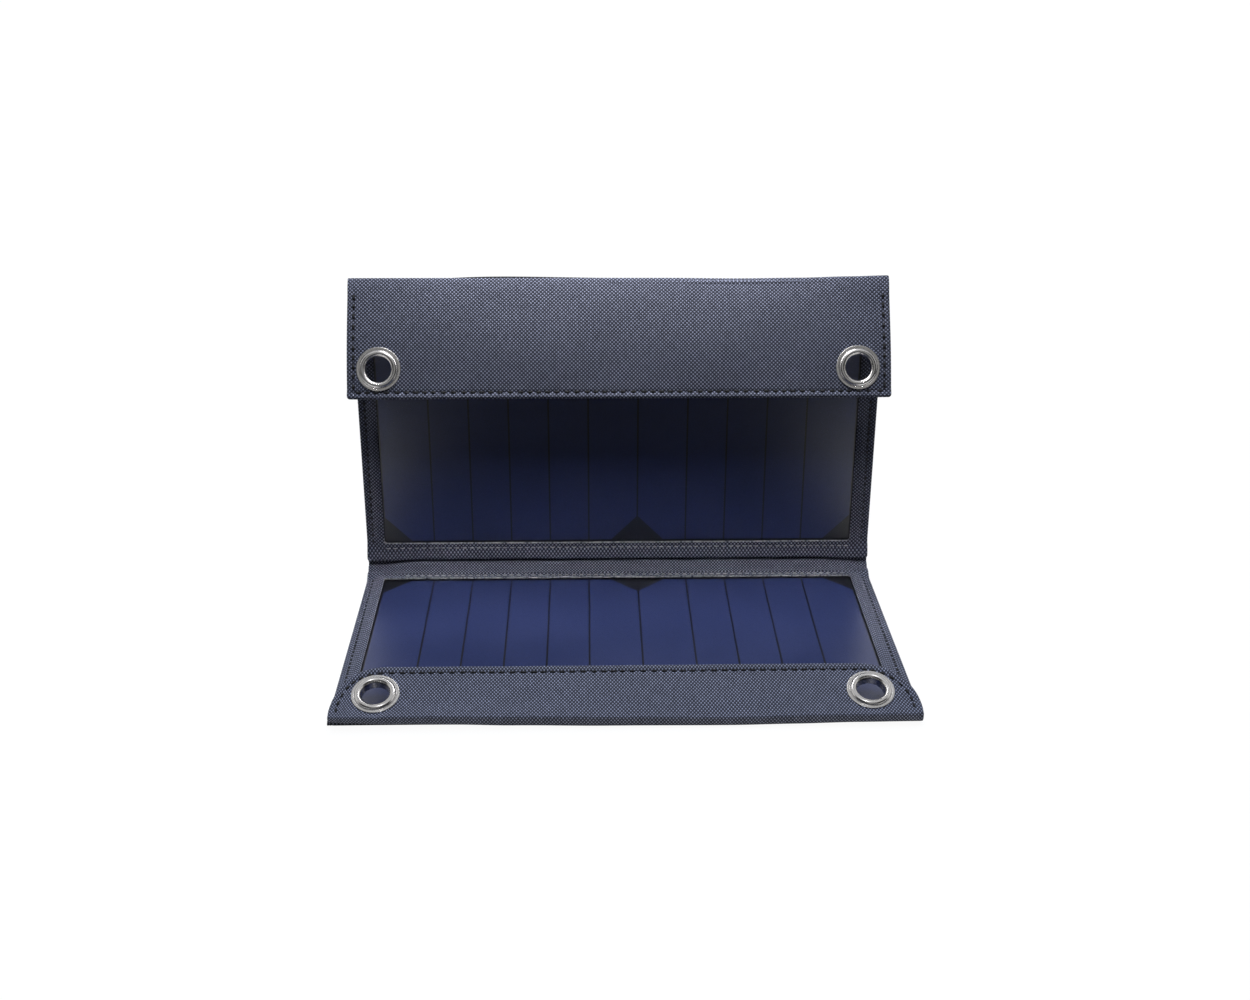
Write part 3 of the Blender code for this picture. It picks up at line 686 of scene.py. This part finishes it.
def seam_strips(name, place):
    """The black seams between the cell strips: a flat band over each gap, just above the cells."""
    cells = [box_mm(f"lower_cell_{i:02d}") for i in range(1, 12)]
    middle = np.array([(a[1][0] + b[0][0]) / 2 for a, b in zip(cells, cells[1:])])
    x = np.sort(np.concatenate([middle - SEAM_STRIP / 2, middle + SEAM_STRIP / 2]))
    x, v = np.broadcast_arrays(x[None], np.array([[CELLS_NEAR], [CELLS_FAR]]))
    over_gaps = (np.arange(x.shape[1] - 1) % 2 == 0)[None]
    low = cells[0][1][2] + 0.05
    strips = cloth(name, place(x, v, low + 0.06), place(x, v, low), None, backsheet, keep=over_gaps)
    strips.data.shade_flat()
    return strips


lower_seams = seam_strips("lower_seam_strips", on_lower)
upper_seams = seam_strips("upper_seam_strips", on_upper)
lower_border = leaf_border("lower_border_cloth", on_lower, 0.4)
upper_border = leaf_border("upper_border_cloth", on_upper, 1.9)
lower_back = leaf_back("lower_back_cloth", on_lower, 0.0, 0.7)
upper_back = leaf_back("upper_back_cloth", on_upper, 0.35, 2.6)


# ---------------------------------------------------------------- hinge


def hinge_cloth(name, path, thickness, sag, seed):
    """A strip of cloth along the hinge: a path across the fold carried along x, dipping at its ends by sag.

    path gives (y, z) points; each is moved along its own normal by a slow ripple.
    """
    x = lines(-HALF + 0.2, HALF - 0.2, 3.0)[None, :]
    wider = 0.7 * smooth((x - CELLS_X - 2) / (HALF - CELLS_X - 2))
    out = left_normal(path)
    s = arc_length(path)[:, None]
    free = np.sin(np.clip(s / s[-1], 0, 1) * math.pi)
    dip = sag * (1 - smooth((HALF - np.abs(x)) / 26.0)) * free
    push = 0.22 * ripple(x * 1.6, s * 2.0, seed) * free
    half = thickness / 2 * np.maximum(roll(HALF - 0.2 - np.abs(x), 0.5), 0.1)

    def layer(side):
        y = path[:, :1] + out[:, :1] * (push + side * half)
        z = path[:, 1:] + out[:, 1:] * (push + side * half) - dip
        return np.stack(np.broadcast_arrays(x + wider, y, z), -1)

    flat = np.stack(np.broadcast_arrays(x, s), -1)
    return cloth(name, layer(1.0), layer(-1.0), flat, canvas)


lining_path = np.concatenate(
    [
        curve([(67.6, 3.85), (68.7, 3.95), (69.2, 4.5), (69.7, 5.8)], 9)[:-1],
        curve([(69.7, 5.8), (70.2, 7.1), (70.6, 8.2), (71.5, 8.4)], 9)[:-1],
        curve([(71.5, 8.4), (72.2, 8.55), (72.7, 8.5), (72.8, 9.7)], 9)[:-1],
        curve([(72.8, 9.7), (72.9, 11.2), (72.3, 12.2), (72.3, 13.4)], 7),
    ]
)
cover_path = curve([(69.9, 0.3), (75.2, 0.2), (75.4, 3.0), (74.65, 12.6)], 26)
hinge_front = hinge_cloth("hinge_front_cloth", lining_path, 0.55, 2.1, 0.3)
hinge_back = hinge_cloth("hinge_back_cloth", cover_path[::-1], 0.55, 0.0, 1.2)


# ---------------------------------------------------------------- flaps


def flap_cut(flap, x):
    """How far a flap reaches from its fold at each x: its length, less the round of its free corners."""
    corner = flap["corner"]
    past = np.clip(np.abs(x) - (FLAP_HALF - corner), 0, corner)
    return flap["length"] - (corner - np.sqrt(np.maximum(corner**2 - past**2, 0)))


def flap_edge(flap, x, v):
    """Distance from a point of a flap to its side and free edges, round its corners too."""
    corner = flap["corner"]
    dx = np.abs(x) - (FLAP_HALF - corner)
    dv = v - (flap["length"] - corner)
    straight = corner - np.maximum(dx, dv)
    rounded = corner - np.hypot(np.maximum(dx, 0), np.maximum(dv, 0))
    return np.where((dx > 0) & (dv > 0), rounded, straight)


def flap_face(flap, v):
    """The outer face across a flap, as (y, z): a straight line, bowed about the row of its eyelets."""
    v = np.asarray(v, float)[..., None]
    height = FLAP_THICK - flap["bow"] * ((v - BOW_ROW) / BOW_ROW) ** 2
    return flap["axis"] + flap["down"] * v + flap["out"] * height


def flap_line(flap, fold):
    """The outer face of a fold and its flap: distances along it from the fold, points and outward normals."""
    path = np.concatenate([fold[:-1], flap_face(flap, np.linspace(flap["join"], flap["length"] + 1, 60))])
    s = arc_length(path)
    run = np.gradient(path, s, axis=0)
    run /= np.linalg.norm(run, axis=1)[:, None]
    out = np.stack([run[:, 1], -run[:, 0]], 1)
    if out[-1] @ flap["out"] < 0:
        out = -out
    return s - s[len(fold) - 1] + flap["join"], path, out


def on_flap(flap, x, v, depth, rise):
    """Points of a flap: v along its outer face from the fold, a depth under that face, raised by rise.

    The left side is drawn in and the right side spread by the flap's own amounts.
    """
    place, path, out = flap["line"]
    y, z, ny, nz = (np.interp(v, place, a) for a in (path[:, 0], path[:, 1], out[:, 0], out[:, 1]))
    inward, outward = flap["spread"]
    left, right = ((side - SPREAD_FROM) / SPREAD_OVER for side in (-x, x))
    x = x + inward * smooth(left) + outward * smooth(right)
    return np.stack([x, y - ny * depth, z - nz * depth + rise], -1)


def flap_layers(flap, x, v):
    """The depth of a flap's middle under its outer face, its half thickness, and how far it is raised.

    The cloth is single in the fold and thick in the flap, puffed along the hem and thin in the stitch line.
    Past the stitch line the hem flares outwards.
    """
    start = -flap["line"][0][0]
    edge = np.minimum(np.maximum(flap_edge(flap, x, v), 0), FLAP_HALF - np.abs(x))
    body = smooth((v - 1.0) / 6.0)
    thick = 0.6 + (FLAP_THICK - 0.6) * body
    hem = flap["stitch"]
    puff = 0.32 * np.sin(np.clip(edge / hem, 0, 1) * math.pi) - 0.36 * dent(edge, hem, 0.5)
    half = (thick / 2 + puff * body) * np.maximum(roll(edge, 0.9), 0.05)
    gap = eyelet_gap(x, v, flap["eyelets"])
    sag, seed = flap["ripple"]
    wave = sag * ripple(x, v, seed) * smooth((v - 2) / 8) * smooth((gap - 10) / 8)
    rise = flap["rise"](x, v, start) * smooth((gap - 10.3) / 4)
    flare = flap["flare"] * smooth((hem + 0.4 - (flap_cut(flap, x) - v)) / hem)
    return thick / 2 - wave - flare, half, rise


def flap_cloth(name, flap):
    """A flap with the fold that joins it to its leaf, in one closed cloth.

    Rows follow the fold and then the flap's face. Each x has its own reach, so the free corners are round.
    The squares under an eyelet's rim are left out, their edge drawn on to a circle.
    """
    join, length, count = flap["join"], flap["length"], flap["fold_rows"]
    x = lines(-FLAP_HALF, FLAP_HALF, 1.3)[None]
    reach = flap_cut(flap, x)
    near = np.minimum(join, 0.6 * reach)
    bend = np.linspace(flap["line"][0][0], join, count, endpoint=False)[:, None]
    bend = np.where(bend > 0, bend * near / join, bend)
    t = np.concatenate([np.linspace(0.0, 0.72, int(length / 1.6)), 1 - EDGE_LINES[::-1] / (length - join)])
    t = np.unique(np.clip(t, 0, 1))[:, None]
    v = np.concatenate([bend + 0 * x, near + t * (reach - near)])
    x, v, keep = eyelet_holes(np.broadcast_to(x, v.shape).copy(), v, flap["eyelets"], EYELET_CUT)
    depth, half, rise = flap_layers(flap, x, v)
    face, back = (on_flap(flap, x, v, depth - side * half, rise) for side in (1.0, -1.0))
    return cloth(name, face, back, np.stack([x, v], -1) * np.array(flap["yarns"]), canvas, keep=keep)


def eyelet_gap(x, v, eyelets):
    """Distance from the nearest eyelet's centre."""
    return np.min([np.hypot(x - ex, v - ev) for ex, ev in eyelets], axis=0)


def eyelet_holes(x, v, eyelets, radius):
    """Grid points close round an eyelet are drawn on to a circle, and the squares inside it are dropped."""
    keep = np.ones((x.shape[0] - 1, x.shape[1] - 1), bool)
    for ex, ev in eyelets:
        away = np.hypot(x - ex, v - ev)
        middle = (away[:-1, :-1] + away[1:, :-1] + away[:-1, 1:] + away[1:, 1:]) / 4
        inside = middle < radius
        keep &= ~inside
        touched = np.zeros(x.shape, bool)
        untouched = np.zeros(x.shape, bool)
        for a in (slice(None, -1), slice(1, None)):
            for b in (slice(None, -1), slice(1, None)):
                touched[a, b] |= inside
                untouched[a, b] |= ~inside
        rim = touched & untouched
        scale = np.where(rim, radius / np.maximum(away, 0.1), 1.0)
        x = ex + (x - ex) * scale
        v = ev + (v - ev) * scale
    return x, v, keep


def top_rise(x, v, start):
    """The top fold's crest waves along its length."""
    return eased(x, TOP_CREST) * (1 - smooth((v + 1) / 13)) * smooth((v + start) / 4)


def front_rise(x, v, start):
    """The front fold starts from the leaf's seam and its crease waves along its length."""
    up = np.clip((v + start) / start, 0, 1)
    return eased(x, FRONT_SEAM) * (1 - up) + eased(x, FRONT_CREASE) * up * (1 - smooth(v / 8))


top_end, top_before = flap_face(TOP, [TOP["join"], TOP["join"] - 0.1])
top_fold = curve([(75.42, 151.2), (75.7, 157.9), top_end + (top_before - top_end) * 130, top_end], 44)
front_fold = np.concatenate(
    [
        curve([(-70.35, 0.02), (-71.3, 0.15), (-72.35, 0.9), (-72.75, 2.2)], 12)[:-1],
        curve([(-72.75, 2.2), (-73.0, 3.2), (-73.05, 4.3), (-72.9, 5.1)], 10)[:-1],
        curve([(-72.9, 5.1), (-72.75, 5.85), (-72.4, 5.95), flap_face(FRONT, FRONT["join"])], 10),
    ]
)
TOP["line"], TOP["rise"] = flap_line(TOP, top_fold), top_rise
FRONT["line"], FRONT["rise"] = flap_line(FRONT, front_fold), front_rise
top_flap = flap_cloth("top_flap_cloth", TOP)
front_flap = flap_cloth("front_flap_cloth", FRONT)


# ---------------------------------------------------------------- pocket


def pocket_stand(x, z):
    """How far the pocket stands off the leaf's back: nothing at its seams, most at the mouth."""
    left, right = (POCKET_PEAK - x) / (POCKET_PEAK - POCKET_LEFT), (x - POCKET_PEAK) / (POCKET_RIGHT - POCKET_PEAK)
    up = (z - POCKET_LOW) / (Z_TOP - POCKET_LOW)
    return POCKET_BULGE * (1 - np.clip(np.maximum(left, right), 0, 1) ** 2.6) * smooth(up / 0.22) * (0.93 + 0.07 * up)


def pocket_mouth(x):
    """The height of the pocket's mouth: highest at the bulge, a little lower beside it."""
    return Z_TOP - 2.2 + 0.55 * np.exp(-(((x + 57) / 30) ** 2))


def pocket_cloth():
    """The pocket's wall: the bulge with soft creases towards its lower corners and sewn edges."""
    x = lines(POCKET_LEFT, POCKET_RIGHT, 2.2)[None]
    t = lines(0.0, 100.0, 2.2)[:, None] / 100.0
    z = POCKET_LOW + t * (pocket_mouth(x) - 0.8 - POCKET_LOW)
    x = np.broadcast_to(x, z.shape)
    edge = np.minimum(np.minimum(x - POCKET_LEFT, POCKET_RIGHT - x), z - POCKET_LOW)
    below = pocket_mouth(x) - z
    crease = 0.35 * ripple(x * 0.8, z * 0.6, 1.4) * smooth(edge / 14) * smooth((below - 5) / 10)
    half = (0.3 + 0.1 * dent(edge, 1.2, 1.0) - 0.14 * dent(edge, 2.6, 0.4)) * np.maximum(roll(edge, 0.6), 0.08)
    middle = Y_BACK + 0.95 + pocket_stand(x, z) + crease
    face, back = (np.stack([x, middle + side * half, z], -1) for side in (1, -1))
    return cloth("pocket_cloth", face, back, np.stack([x, z], -1), canvas)


def pocket_tape():
    """The tape folded over the pocket's mouth: a rounded loop of tape carried along the mouth.

    Round the section, a turn from the wall's outer side over the mouth and down the inner side, with thin edges.
    """
    x = lines(POCKET_LEFT, POCKET_RIGHT, 2.2)[None]
    turn = np.linspace(0.2, math.pi - 0.2, 7)
    leg = np.linspace(5.0, 0.7, 9)
    side = np.concatenate([np.ones(9), np.cos(turn), -np.ones(9)])[:, None]
    drop = np.concatenate([leg, 0.6 - 0.6 * np.sin(turn), leg[::-1]])[:, None]
    z = pocket_mouth(x) - drop
    groove = 0.12 * dent(drop, 4.0, 0.35)
    middle = Y_BACK + 0.95 + pocket_stand(x, z)
    face, back = (np.stack(np.broadcast_arrays(x, middle + side * (reach - groove), z), -1) for reach in (0.66, 0.36))
    flat = np.stack(np.broadcast_arrays(x, np.sign(side) * drop), -1)
    return cloth("pocket_tape", face, back, flat, tape)


pocket = pocket_cloth()
pocket_binding = pocket_tape()


# ---------------------------------------------------------------- metal


def eyelet_section():
    """An eyelet's closed section: barrel, domed ring, groove, flat band with a rounded lip, and its rolled end."""
    arc = np.linspace(0, math.pi / 2, 7)
    seat = FLAP_THICK + 0.08
    dome_r, dome_h = 1.42, 1.42
    centre_r, band_top = 7.45, seat + 0.45
    points = [(6.0, -0.9), (6.0, -0.8), (6.0, seat - 0.3), (6.0, seat + 0.1)]
    for a in np.linspace(math.pi, 0.12, 17):
        points.append((centre_r + dome_r * math.cos(a), seat + 0.25 + dome_h * math.sin(a)))
    points += [(8.88, band_top - 0.12), (8.98, band_top - 0.10), (9.10, band_top - 0.02)]
    points += [(9.2, band_top), (9.6, band_top)]
    points += [(9.95 + 0.25 * math.sin(a), band_top - 0.25 + 0.25 * math.cos(a)) for a in arc]
    points += [(10.2, seat + 0.02), (10.18, seat), (6.6, seat), (6.45, seat), (6.45, seat - 0.1), (6.45, -0.9)]
    points += [(7.3 + 0.45 * math.sin(a), -0.95 - 0.3 + 0.3 * math.cos(a)) for a in np.linspace(0, math.pi, 9)]
    points += [(6.35, -1.48), (6.07, -1.25)]
    return points


def washer_section():
    """The washer's section under the flap's lining."""
    return [(6.7, -0.08), (6.7, -0.62), (6.85, -0.75), (9.9, -0.75), (10.2, -0.55), (10.2, -0.08)]


for flap, body, label in ((TOP, "top_flap", "top"), (FRONT, "front_flap", "front")):
    for (ex, ev), hand in zip(flap["eyelets"], ("left", "right")):
        foot = flap["axis"] + flap["down"] * ev
        for part, section in (("eyelet", eyelet_section()), ("washer", washer_section())):
            ring = turned(
                f"{label}_{part}_{hand}_ring", section, (ex, *foot), (1, 0, 0), (0, *flap["out"]), nickel
            )
            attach(ring, body)
            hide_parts(f"{label}_{part}_{hand}")


# ---------------------------------------------------------------- stitches


def leaf_rows(place, out_w, w, sides, seed):
    """Stitch rows along the edges of a leaf. sides lists ((x, v), (x, v), pitch)."""
    rows = []
    for first, last, pitch in sides:
        spots, run = stitch_row(first, last, pitch, seed)
        places = place(spots[:, 0], spots[:, 1], np.full(len(spots), w))
        ends = place(spots[:, 0] + run[:, 0], spots[:, 1] + run[:, 1], np.full(len(spots), w))
        above = place(spots[:, 0], spots[:, 1], np.full(len(spots), w + out_w))
        rows.append((places, ends - places, above - places, pitch * 0.62))
    return rows


side_x = HALF - SEAM
RIM_SIDES = [
    ((-side_x, 6.0), (-side_x, LEAF - SEAM), 3.2),
    ((side_x, 6.0), (side_x, LEAF - SEAM), 3.2),
    ((-side_x, LEAF - SEAM), (side_x, LEAF - SEAM), 3.2),
]
window_v = CELLS_NEAR - WINDOW_MARGIN - 2.4
LOWER_WINDOW_SIDE = [((-CELLS_X + 9, window_v), (CELLS_X - 1, window_v), 3.4)]
UPPER_WINDOW_SIDE = [((-side_x + 6, window_v), (side_x - 6, window_v), 3.4)]
lower_thread = thread(
    "lower_leaf_thread",
    leaf_rows(on_lower, 1.0, 2.10, RIM_SIDES, 0.0) + leaf_rows(on_lower, -1.0, 0.26, RIM_SIDES, 1.0),
    black_thread,
)
upper_thread = thread(
    "upper_leaf_thread",
    leaf_rows(on_upper, 1.0, 2.10, RIM_SIDES, 2.0) + leaf_rows(on_upper, -1.0, 0.2, RIM_SIDES, 3.0),
    black_thread,
)
lower_window_thread = thread(
    "lower_window_thread", leaf_rows(on_lower, 1.0, FACE + 0.02, LOWER_WINDOW_SIDE, 5.0), grey_thread, WINDOW_THREAD
)
upper_window_thread = thread(
    "upper_window_thread", leaf_rows(on_upper, 1.0, FACE + 0.02, UPPER_WINDOW_SIDE, 4.0), grey_thread, WINDOW_THREAD
)


def flap_rows(flap, pitch, length, rows):
    """Stitch rows on a flap's face. rows lists lines of (x, v) points, along the hem or round a corner."""
    made = []
    for points in rows:
        points = np.array(points, float)
        s = arc_length(points)
        count = max(2, int(s[-1] / pitch))
        t = (np.arange(count) + 0.5 + 0.1 * np.sin(5.3 * np.arange(count))) * s[-1] / count
        x, v = np.interp(t, s, points[:, 0]), np.interp(t, s, points[:, 1])
        next_x, next_v = np.interp(t + 0.4, s, points[:, 0]), np.interp(t + 0.4, s, points[:, 1])
        depth, half, rise = flap_layers(flap, x, v)
        depth = depth - half - 0.25
        places = on_flap(flap, x, v, depth, rise)
        run = on_flap(flap, next_x, next_v, depth, rise) - places
        run /= np.linalg.norm(run, axis=1)[:, None]
        out = on_flap(flap, x, v, depth - 1, rise) - places
        made.append((places, run, out, length))
    return made


def corner_path(flap, first):
    """The stitch line of a flap with round corners: down one side, round, along the hem, round and up."""
    inset = flap["stitch"]
    radius = flap["corner"] - inset
    middle = FLAP_HALF - flap["corner"]
    centre = flap["length"] - flap["corner"]
    turn = np.linspace(0, math.pi / 2, 24)
    right = np.stack([middle + radius * np.cos(turn), centre + radius * np.sin(turn)], 1)
    left = np.stack([-middle - radius * np.sin(turn), centre + radius * np.cos(turn)], 1)
    ends = FLAP_HALF - inset
    return np.concatenate([[(ends, first)], right, left, [(-ends, first)]])


hem_x, hem_v = FLAP_HALF - TOP["stitch"], TOP["length"] - TOP["stitch"]
top_hem = [
    [(-hem_x, 5.0), (-hem_x, hem_v)],
    [(hem_x, 5.0), (hem_x, hem_v)],
    [(-hem_x, hem_v), (hem_x, hem_v)],
]
top_thread = thread(
    "top_flap_thread",
    flap_rows(TOP, 4.36, 2.7, top_hem),
    black_thread,
    0.62,
)
front_hem = [corner_path(FRONT, 1.5)]
front_thread = thread("front_flap_thread", flap_rows(FRONT, 4.3, 2.6, front_hem), black_thread, 0.5)


def pocket_rows():
    """Stitches along the pocket's three sewn edges and under its bound mouth."""
    rows = []
    left, right, low, high = POCKET_LEFT + 2.6, POCKET_RIGHT - 2.6, POCKET_LOW + 2.6, Z_TOP - 6.2
    step = 0.5
    for first, last in (
        ((left, low), (left, high)),
        ((right, low), (right, high)),
        ((left, low), (right, low)),
        ((left, high), (right, high)),
    ):
        spots, run = stitch_row(first, last, 3.2)
        x, z = spots[:, 0], spots[:, 1]
        y = Y_BACK + 1.1 + pocket_stand(x, z)
        mouth = (z > high - 0.1) & (run[:, 0] > 0.9)
        z = np.where(mouth, pocket_mouth(x) - 4.0, z)
        y = np.where(z > high, y + 0.35, y)
        ahead = pocket_stand(x + run[:, 0] * step, z + run[:, 1] * step) - pocket_stand(x, z)
        run3 = np.column_stack([run[:, 0], ahead / step, run[:, 1]])
        run3 /= np.linalg.norm(run3, axis=1)[:, None]
        slope_x = (pocket_stand(x + 0.3, z) - pocket_stand(x - 0.3, z)) / 0.6
        out = np.column_stack([-slope_x, np.ones(len(spots)), np.zeros(len(spots))])
        out /= np.linalg.norm(out, axis=1)[:, None]
        out = out - run3 * np.sum(out * run3, 1)[:, None]
        out /= np.linalg.norm(out, axis=1)[:, None]
        rows.append((np.column_stack([x, y, z]), run3, out, 2.0))
    return rows


pocket_thread = thread("pocket_thread", pocket_rows(), black_thread)


# ---------------------------------------------------------------- link cable


def link_cable():
    """The flat cable inside the hinge: a rounded strip carried along the route from one terminal to the other."""
    low, high = box_mm("link_cable")
    route = curve([(67.2, 1.3), (71.0, 1.3), (73.6, 4.4), (73.6, 14.6)], 24)
    out = left_normal(route)
    centre, half_width, half_thick = (low[0] + high[0]) / 2, (high[0] - low[0]) / 2, 0.38
    turn = np.linspace(0, 2 * math.pi, 20, endpoint=False)
    wide = half_width * np.sign(np.cos(turn)) * np.abs(np.cos(turn)) ** 0.35
    deep = half_thick * np.sign(np.sin(turn)) * np.abs(np.sin(turn)) ** 0.7
    rows, count = len(route), len(turn)
    points = np.empty((rows, count, 3))
    points[..., 0] = centre + wide
    points[..., 1] = route[:, :1] + out[:, :1] * deep
    points[..., 2] = route[:, 1:] + out[:, 1:] * deep
    ring = np.arange(rows * count).reshape(rows, count)
    ring = np.hstack([ring, ring[:, :1]])
    tube = np.stack([ring[:-1, :-1], ring[:-1, 1:], ring[1:, 1:], ring[1:, :-1]], -1).reshape(-1, 4)
    half = np.arange(count // 2 - 1)
    cap = np.stack([half, half + 1, count - 2 - half, count - 1 - half], 1)
    faces = np.concatenate([tube, cap, cap[:, ::-1] + (rows - 1) * count])
    return mesh_piece("link_cable_strip", points.reshape(-1, 3), faces, black_plastic)


cable = link_cable()


# ---------------------------------------------------------------- riding, and hiding what they replace

for piece, body, gone in (
    (lower_border, "lower_panel", ["lower_front_frame"]),
    (lower_back, "lower_panel", ["lower_back_cover"]),
    (lower_thread, "lower_panel", []),
    (lower_window_thread, "lower_panel", []),
    (upper_border, "upper_panel", ["upper_front_frame"]),
    (upper_back, "upper_panel", ["upper_back_cover"]),
    (upper_thread, "upper_panel", []),
    (upper_window_thread, "upper_panel", []),
    (pocket, "upper_panel", ["back_pocket"]),
    (pocket_binding, "upper_panel", ["pocket_binding"]),
    (pocket_thread, "upper_panel", []),
    (top_thread, "top_flap", []),
    (front_thread, "front_flap", []),
):
    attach(piece, body)
    if gone:
        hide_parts(*gone)

for piece, body in ((lower_seams, "lower_panel"), (upper_seams, "upper_panel")):
    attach(piece, body)

for piece, gone in ((hinge_front, "hinge_lining"), (hinge_back, "hinge_cover"), (cable, "link_cable")):
    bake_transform(piece)
    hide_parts(gone)
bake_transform(top_flap)
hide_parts("top_flap_fold", "top_flap_cover", "top_flap_lining", "top_flap_stiffener")
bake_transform(front_flap)
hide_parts("front_flap_fold", "front_flap_cover", "front_flap_lining", "front_flap_stiffener")


# ---------------------------------------------------------------- camera, floor and light

camera_data = bpy.data.cameras.new("camera")
camera_data.sensor_width = 36.0
camera_data.lens = 44.694
camera_data.sensor_fit = "HORIZONTAL"
camera_data.clip_start, camera_data.clip_end = 0.01, 50.0
camera = bpy.data.objects.new("camera", camera_data)
bpy.context.scene.collection.objects.link(camera)
right = Vector((0.999708, -0.023846, 0.003831))
up = Vector((0.006049, 0.400750, 0.916168))
back = -Vector((0.023383, 0.915877, -0.400777))
turn = Matrix((right, up, back)).transposed().to_4x4()
camera.matrix_world = Matrix.Translation((-0.014425, -0.630016, 0.348551)) @ turn
bpy.context.scene.camera = camera


def by_ray(tree, seen, mirrored, falling):
    """A value that differs for rays that look at the backdrop, mirrored rays, and light that falls on things."""
    ray = node(tree, "LightPath").outputs
    looking = calc(tree, "MAXIMUM", ray["Is Camera Ray"], ray["Is Transmission Ray"])
    light = node(tree, "Mix", {0: ray["Is Glossy Ray"], 2: falling, 3: mirrored}).outputs[0]
    return node(tree, "Mix", {0: looking, 2: light, 3: seen}).outputs[0]


def white_floor():
    """A wide floor that takes the object's shadow and is white where it is seen.

    Beside the object and in a narrow band in front it also glows as white paper would, which shows in the film and
    lights the front fold.
    """
    made, tree, shader = material("pale_floor")
    shader.inputs["Base Color"].default_value = (0.05, 0.05, 0.05, 1.0)
    shader.inputs["Roughness"].default_value = 0.9
    place = node(tree, "SeparateXYZ", {0: node(tree, "TexCoord").outputs["Object"]}).outputs
    aside = calc(tree, "ABSOLUTE", place[0])
    paper = calc(tree, "MULTIPLY", ranged(tree, aside, 0.122, 0.134), ranged(tree, aside, 0.4, 0.7, 1.0, 0.0))
    paper = calc(tree, "MULTIPLY", paper, ranged(tree, place[1], -0.2, -0.1))
    near_edge = ranged(tree, place[1], -0.0755, -0.0735, 1.0, 0.0)
    apron = calc(tree, "MULTIPLY", ranged(tree, place[1], -0.1, -0.088), near_edge)
    falling = calc(tree, "MULTIPLY_ADD", paper, 0.10, apron)
    strength = by_ray(tree, 0.95, paper, falling)
    glow = node(tree, "Emission", {0: (1, 1, 1, 1), 1: strength})
    both = node(tree, "AddShader", {0: shader.outputs[0], 1: glow.outputs[0]})
    tree.links.new(both.outputs[0], tree.nodes["Material Output"].inputs["Surface"])
    mesh = bpy.data.meshes.new("floor")
    far, low = 6.0, -0.0003
    mesh.from_pydata([(-far, -far, low), (far, -far, low), (far, far, low), (-far, far, low)], [], [(0, 1, 2, 3)])
    mesh.materials.append(made)
    floor = bpy.data.objects.new("floor", mesh)
    bpy.context.scene.collection.objects.link(floor)


def studio():
    """A tent with a bright roof, white walls that show in mirrors, a dark front with a soft glow, and three lamps.

    way is the direction of a ray: x right, y back, z up.
    """
    world = bpy.data.worlds.new("studio")
    bpy.context.scene.world = world
    world.use_nodes = True
    tree = world.node_tree
    sky = tree.nodes["Background"]
    way = node(tree, "SeparateXYZ", {0: node(tree, "TexCoord").outputs["Generated"]}).outputs
    ahead = calc(tree, "MULTIPLY_ADD", way[2], 0.4, calc(tree, "MULTIPLY", way[1], -0.92))
    roof = ranged(tree, way[2], 0.75, 0.985, 0.01, 2.95)
    roof = calc(tree, "ADD", roof, ranged(tree, way[1], 0.25, 0.6, 0.0, 0.25))
    walls = ranged(tree, way[1], -0.35, 0.0, 0.03, 0.85)
    walls = calc(tree, "MULTIPLY", walls, ranged(tree, way[2], 0.5, 0.7, 1.0, 0.6))
    walls = calc(tree, "ADD", walls, ranged(tree, ahead, 0.88, 0.98, 0.0, 0.3))
    above = ranged(tree, way[2], 0.70, 0.84, 0.0, 0.7)
    above = calc(tree, "MULTIPLY", above, ranged(tree, way[1], -0.3, 0.0, 1.0, 0.0))
    walls = calc(tree, "ADD", walls, above)
    red, blue = by_ray(tree, 1.0, 1.0, 0.90), by_ray(tree, 1.0, 1.0, 1.20)
    tint = node(tree, "CombineColor", {0: red, 1: 1.0, 2: blue})
    tree.links.new(tint.outputs[0], sky.inputs["Color"])
    tree.links.new(by_ray(tree, 1.0, walls, roof), sky.inputs["Strength"])
    for name, place, aim, size, spread, power in (
        ("strip_lamp", (0.0, 0.067, 0.215), (0.0, 0.067, 0.0), (0.22, 0.03), 180, 0.14),
        ("front_lamp", (0.0, -0.40, 0.80), (0.0, 0.01, 0.05), (0.05, 0.05), 180, 0.74),
        ("hinge_lamp", (0.0, -0.17, 0.48), (0.0, 0.045, 0.003), (0.26, 0.03), 13, 0.038),
    ):
        data = bpy.data.lights.new(name, "AREA")
        data.shape = "RECTANGLE"
        data.size, data.size_y = size
        data.spread = math.radians(spread)
        data.energy = power
        data.color = (1.0, 1.0, 1.03)
        lamp = bpy.data.objects.new(name, data)
        lamp.location = place
        lamp.rotation_euler = (Vector(aim) - lamp.location).to_track_quat("-Z", "Y").to_euler()
        bpy.context.scene.collection.objects.link(lamp)


white_floor()
studio()
bpy.context.scene.view_settings.view_transform = "Standard"
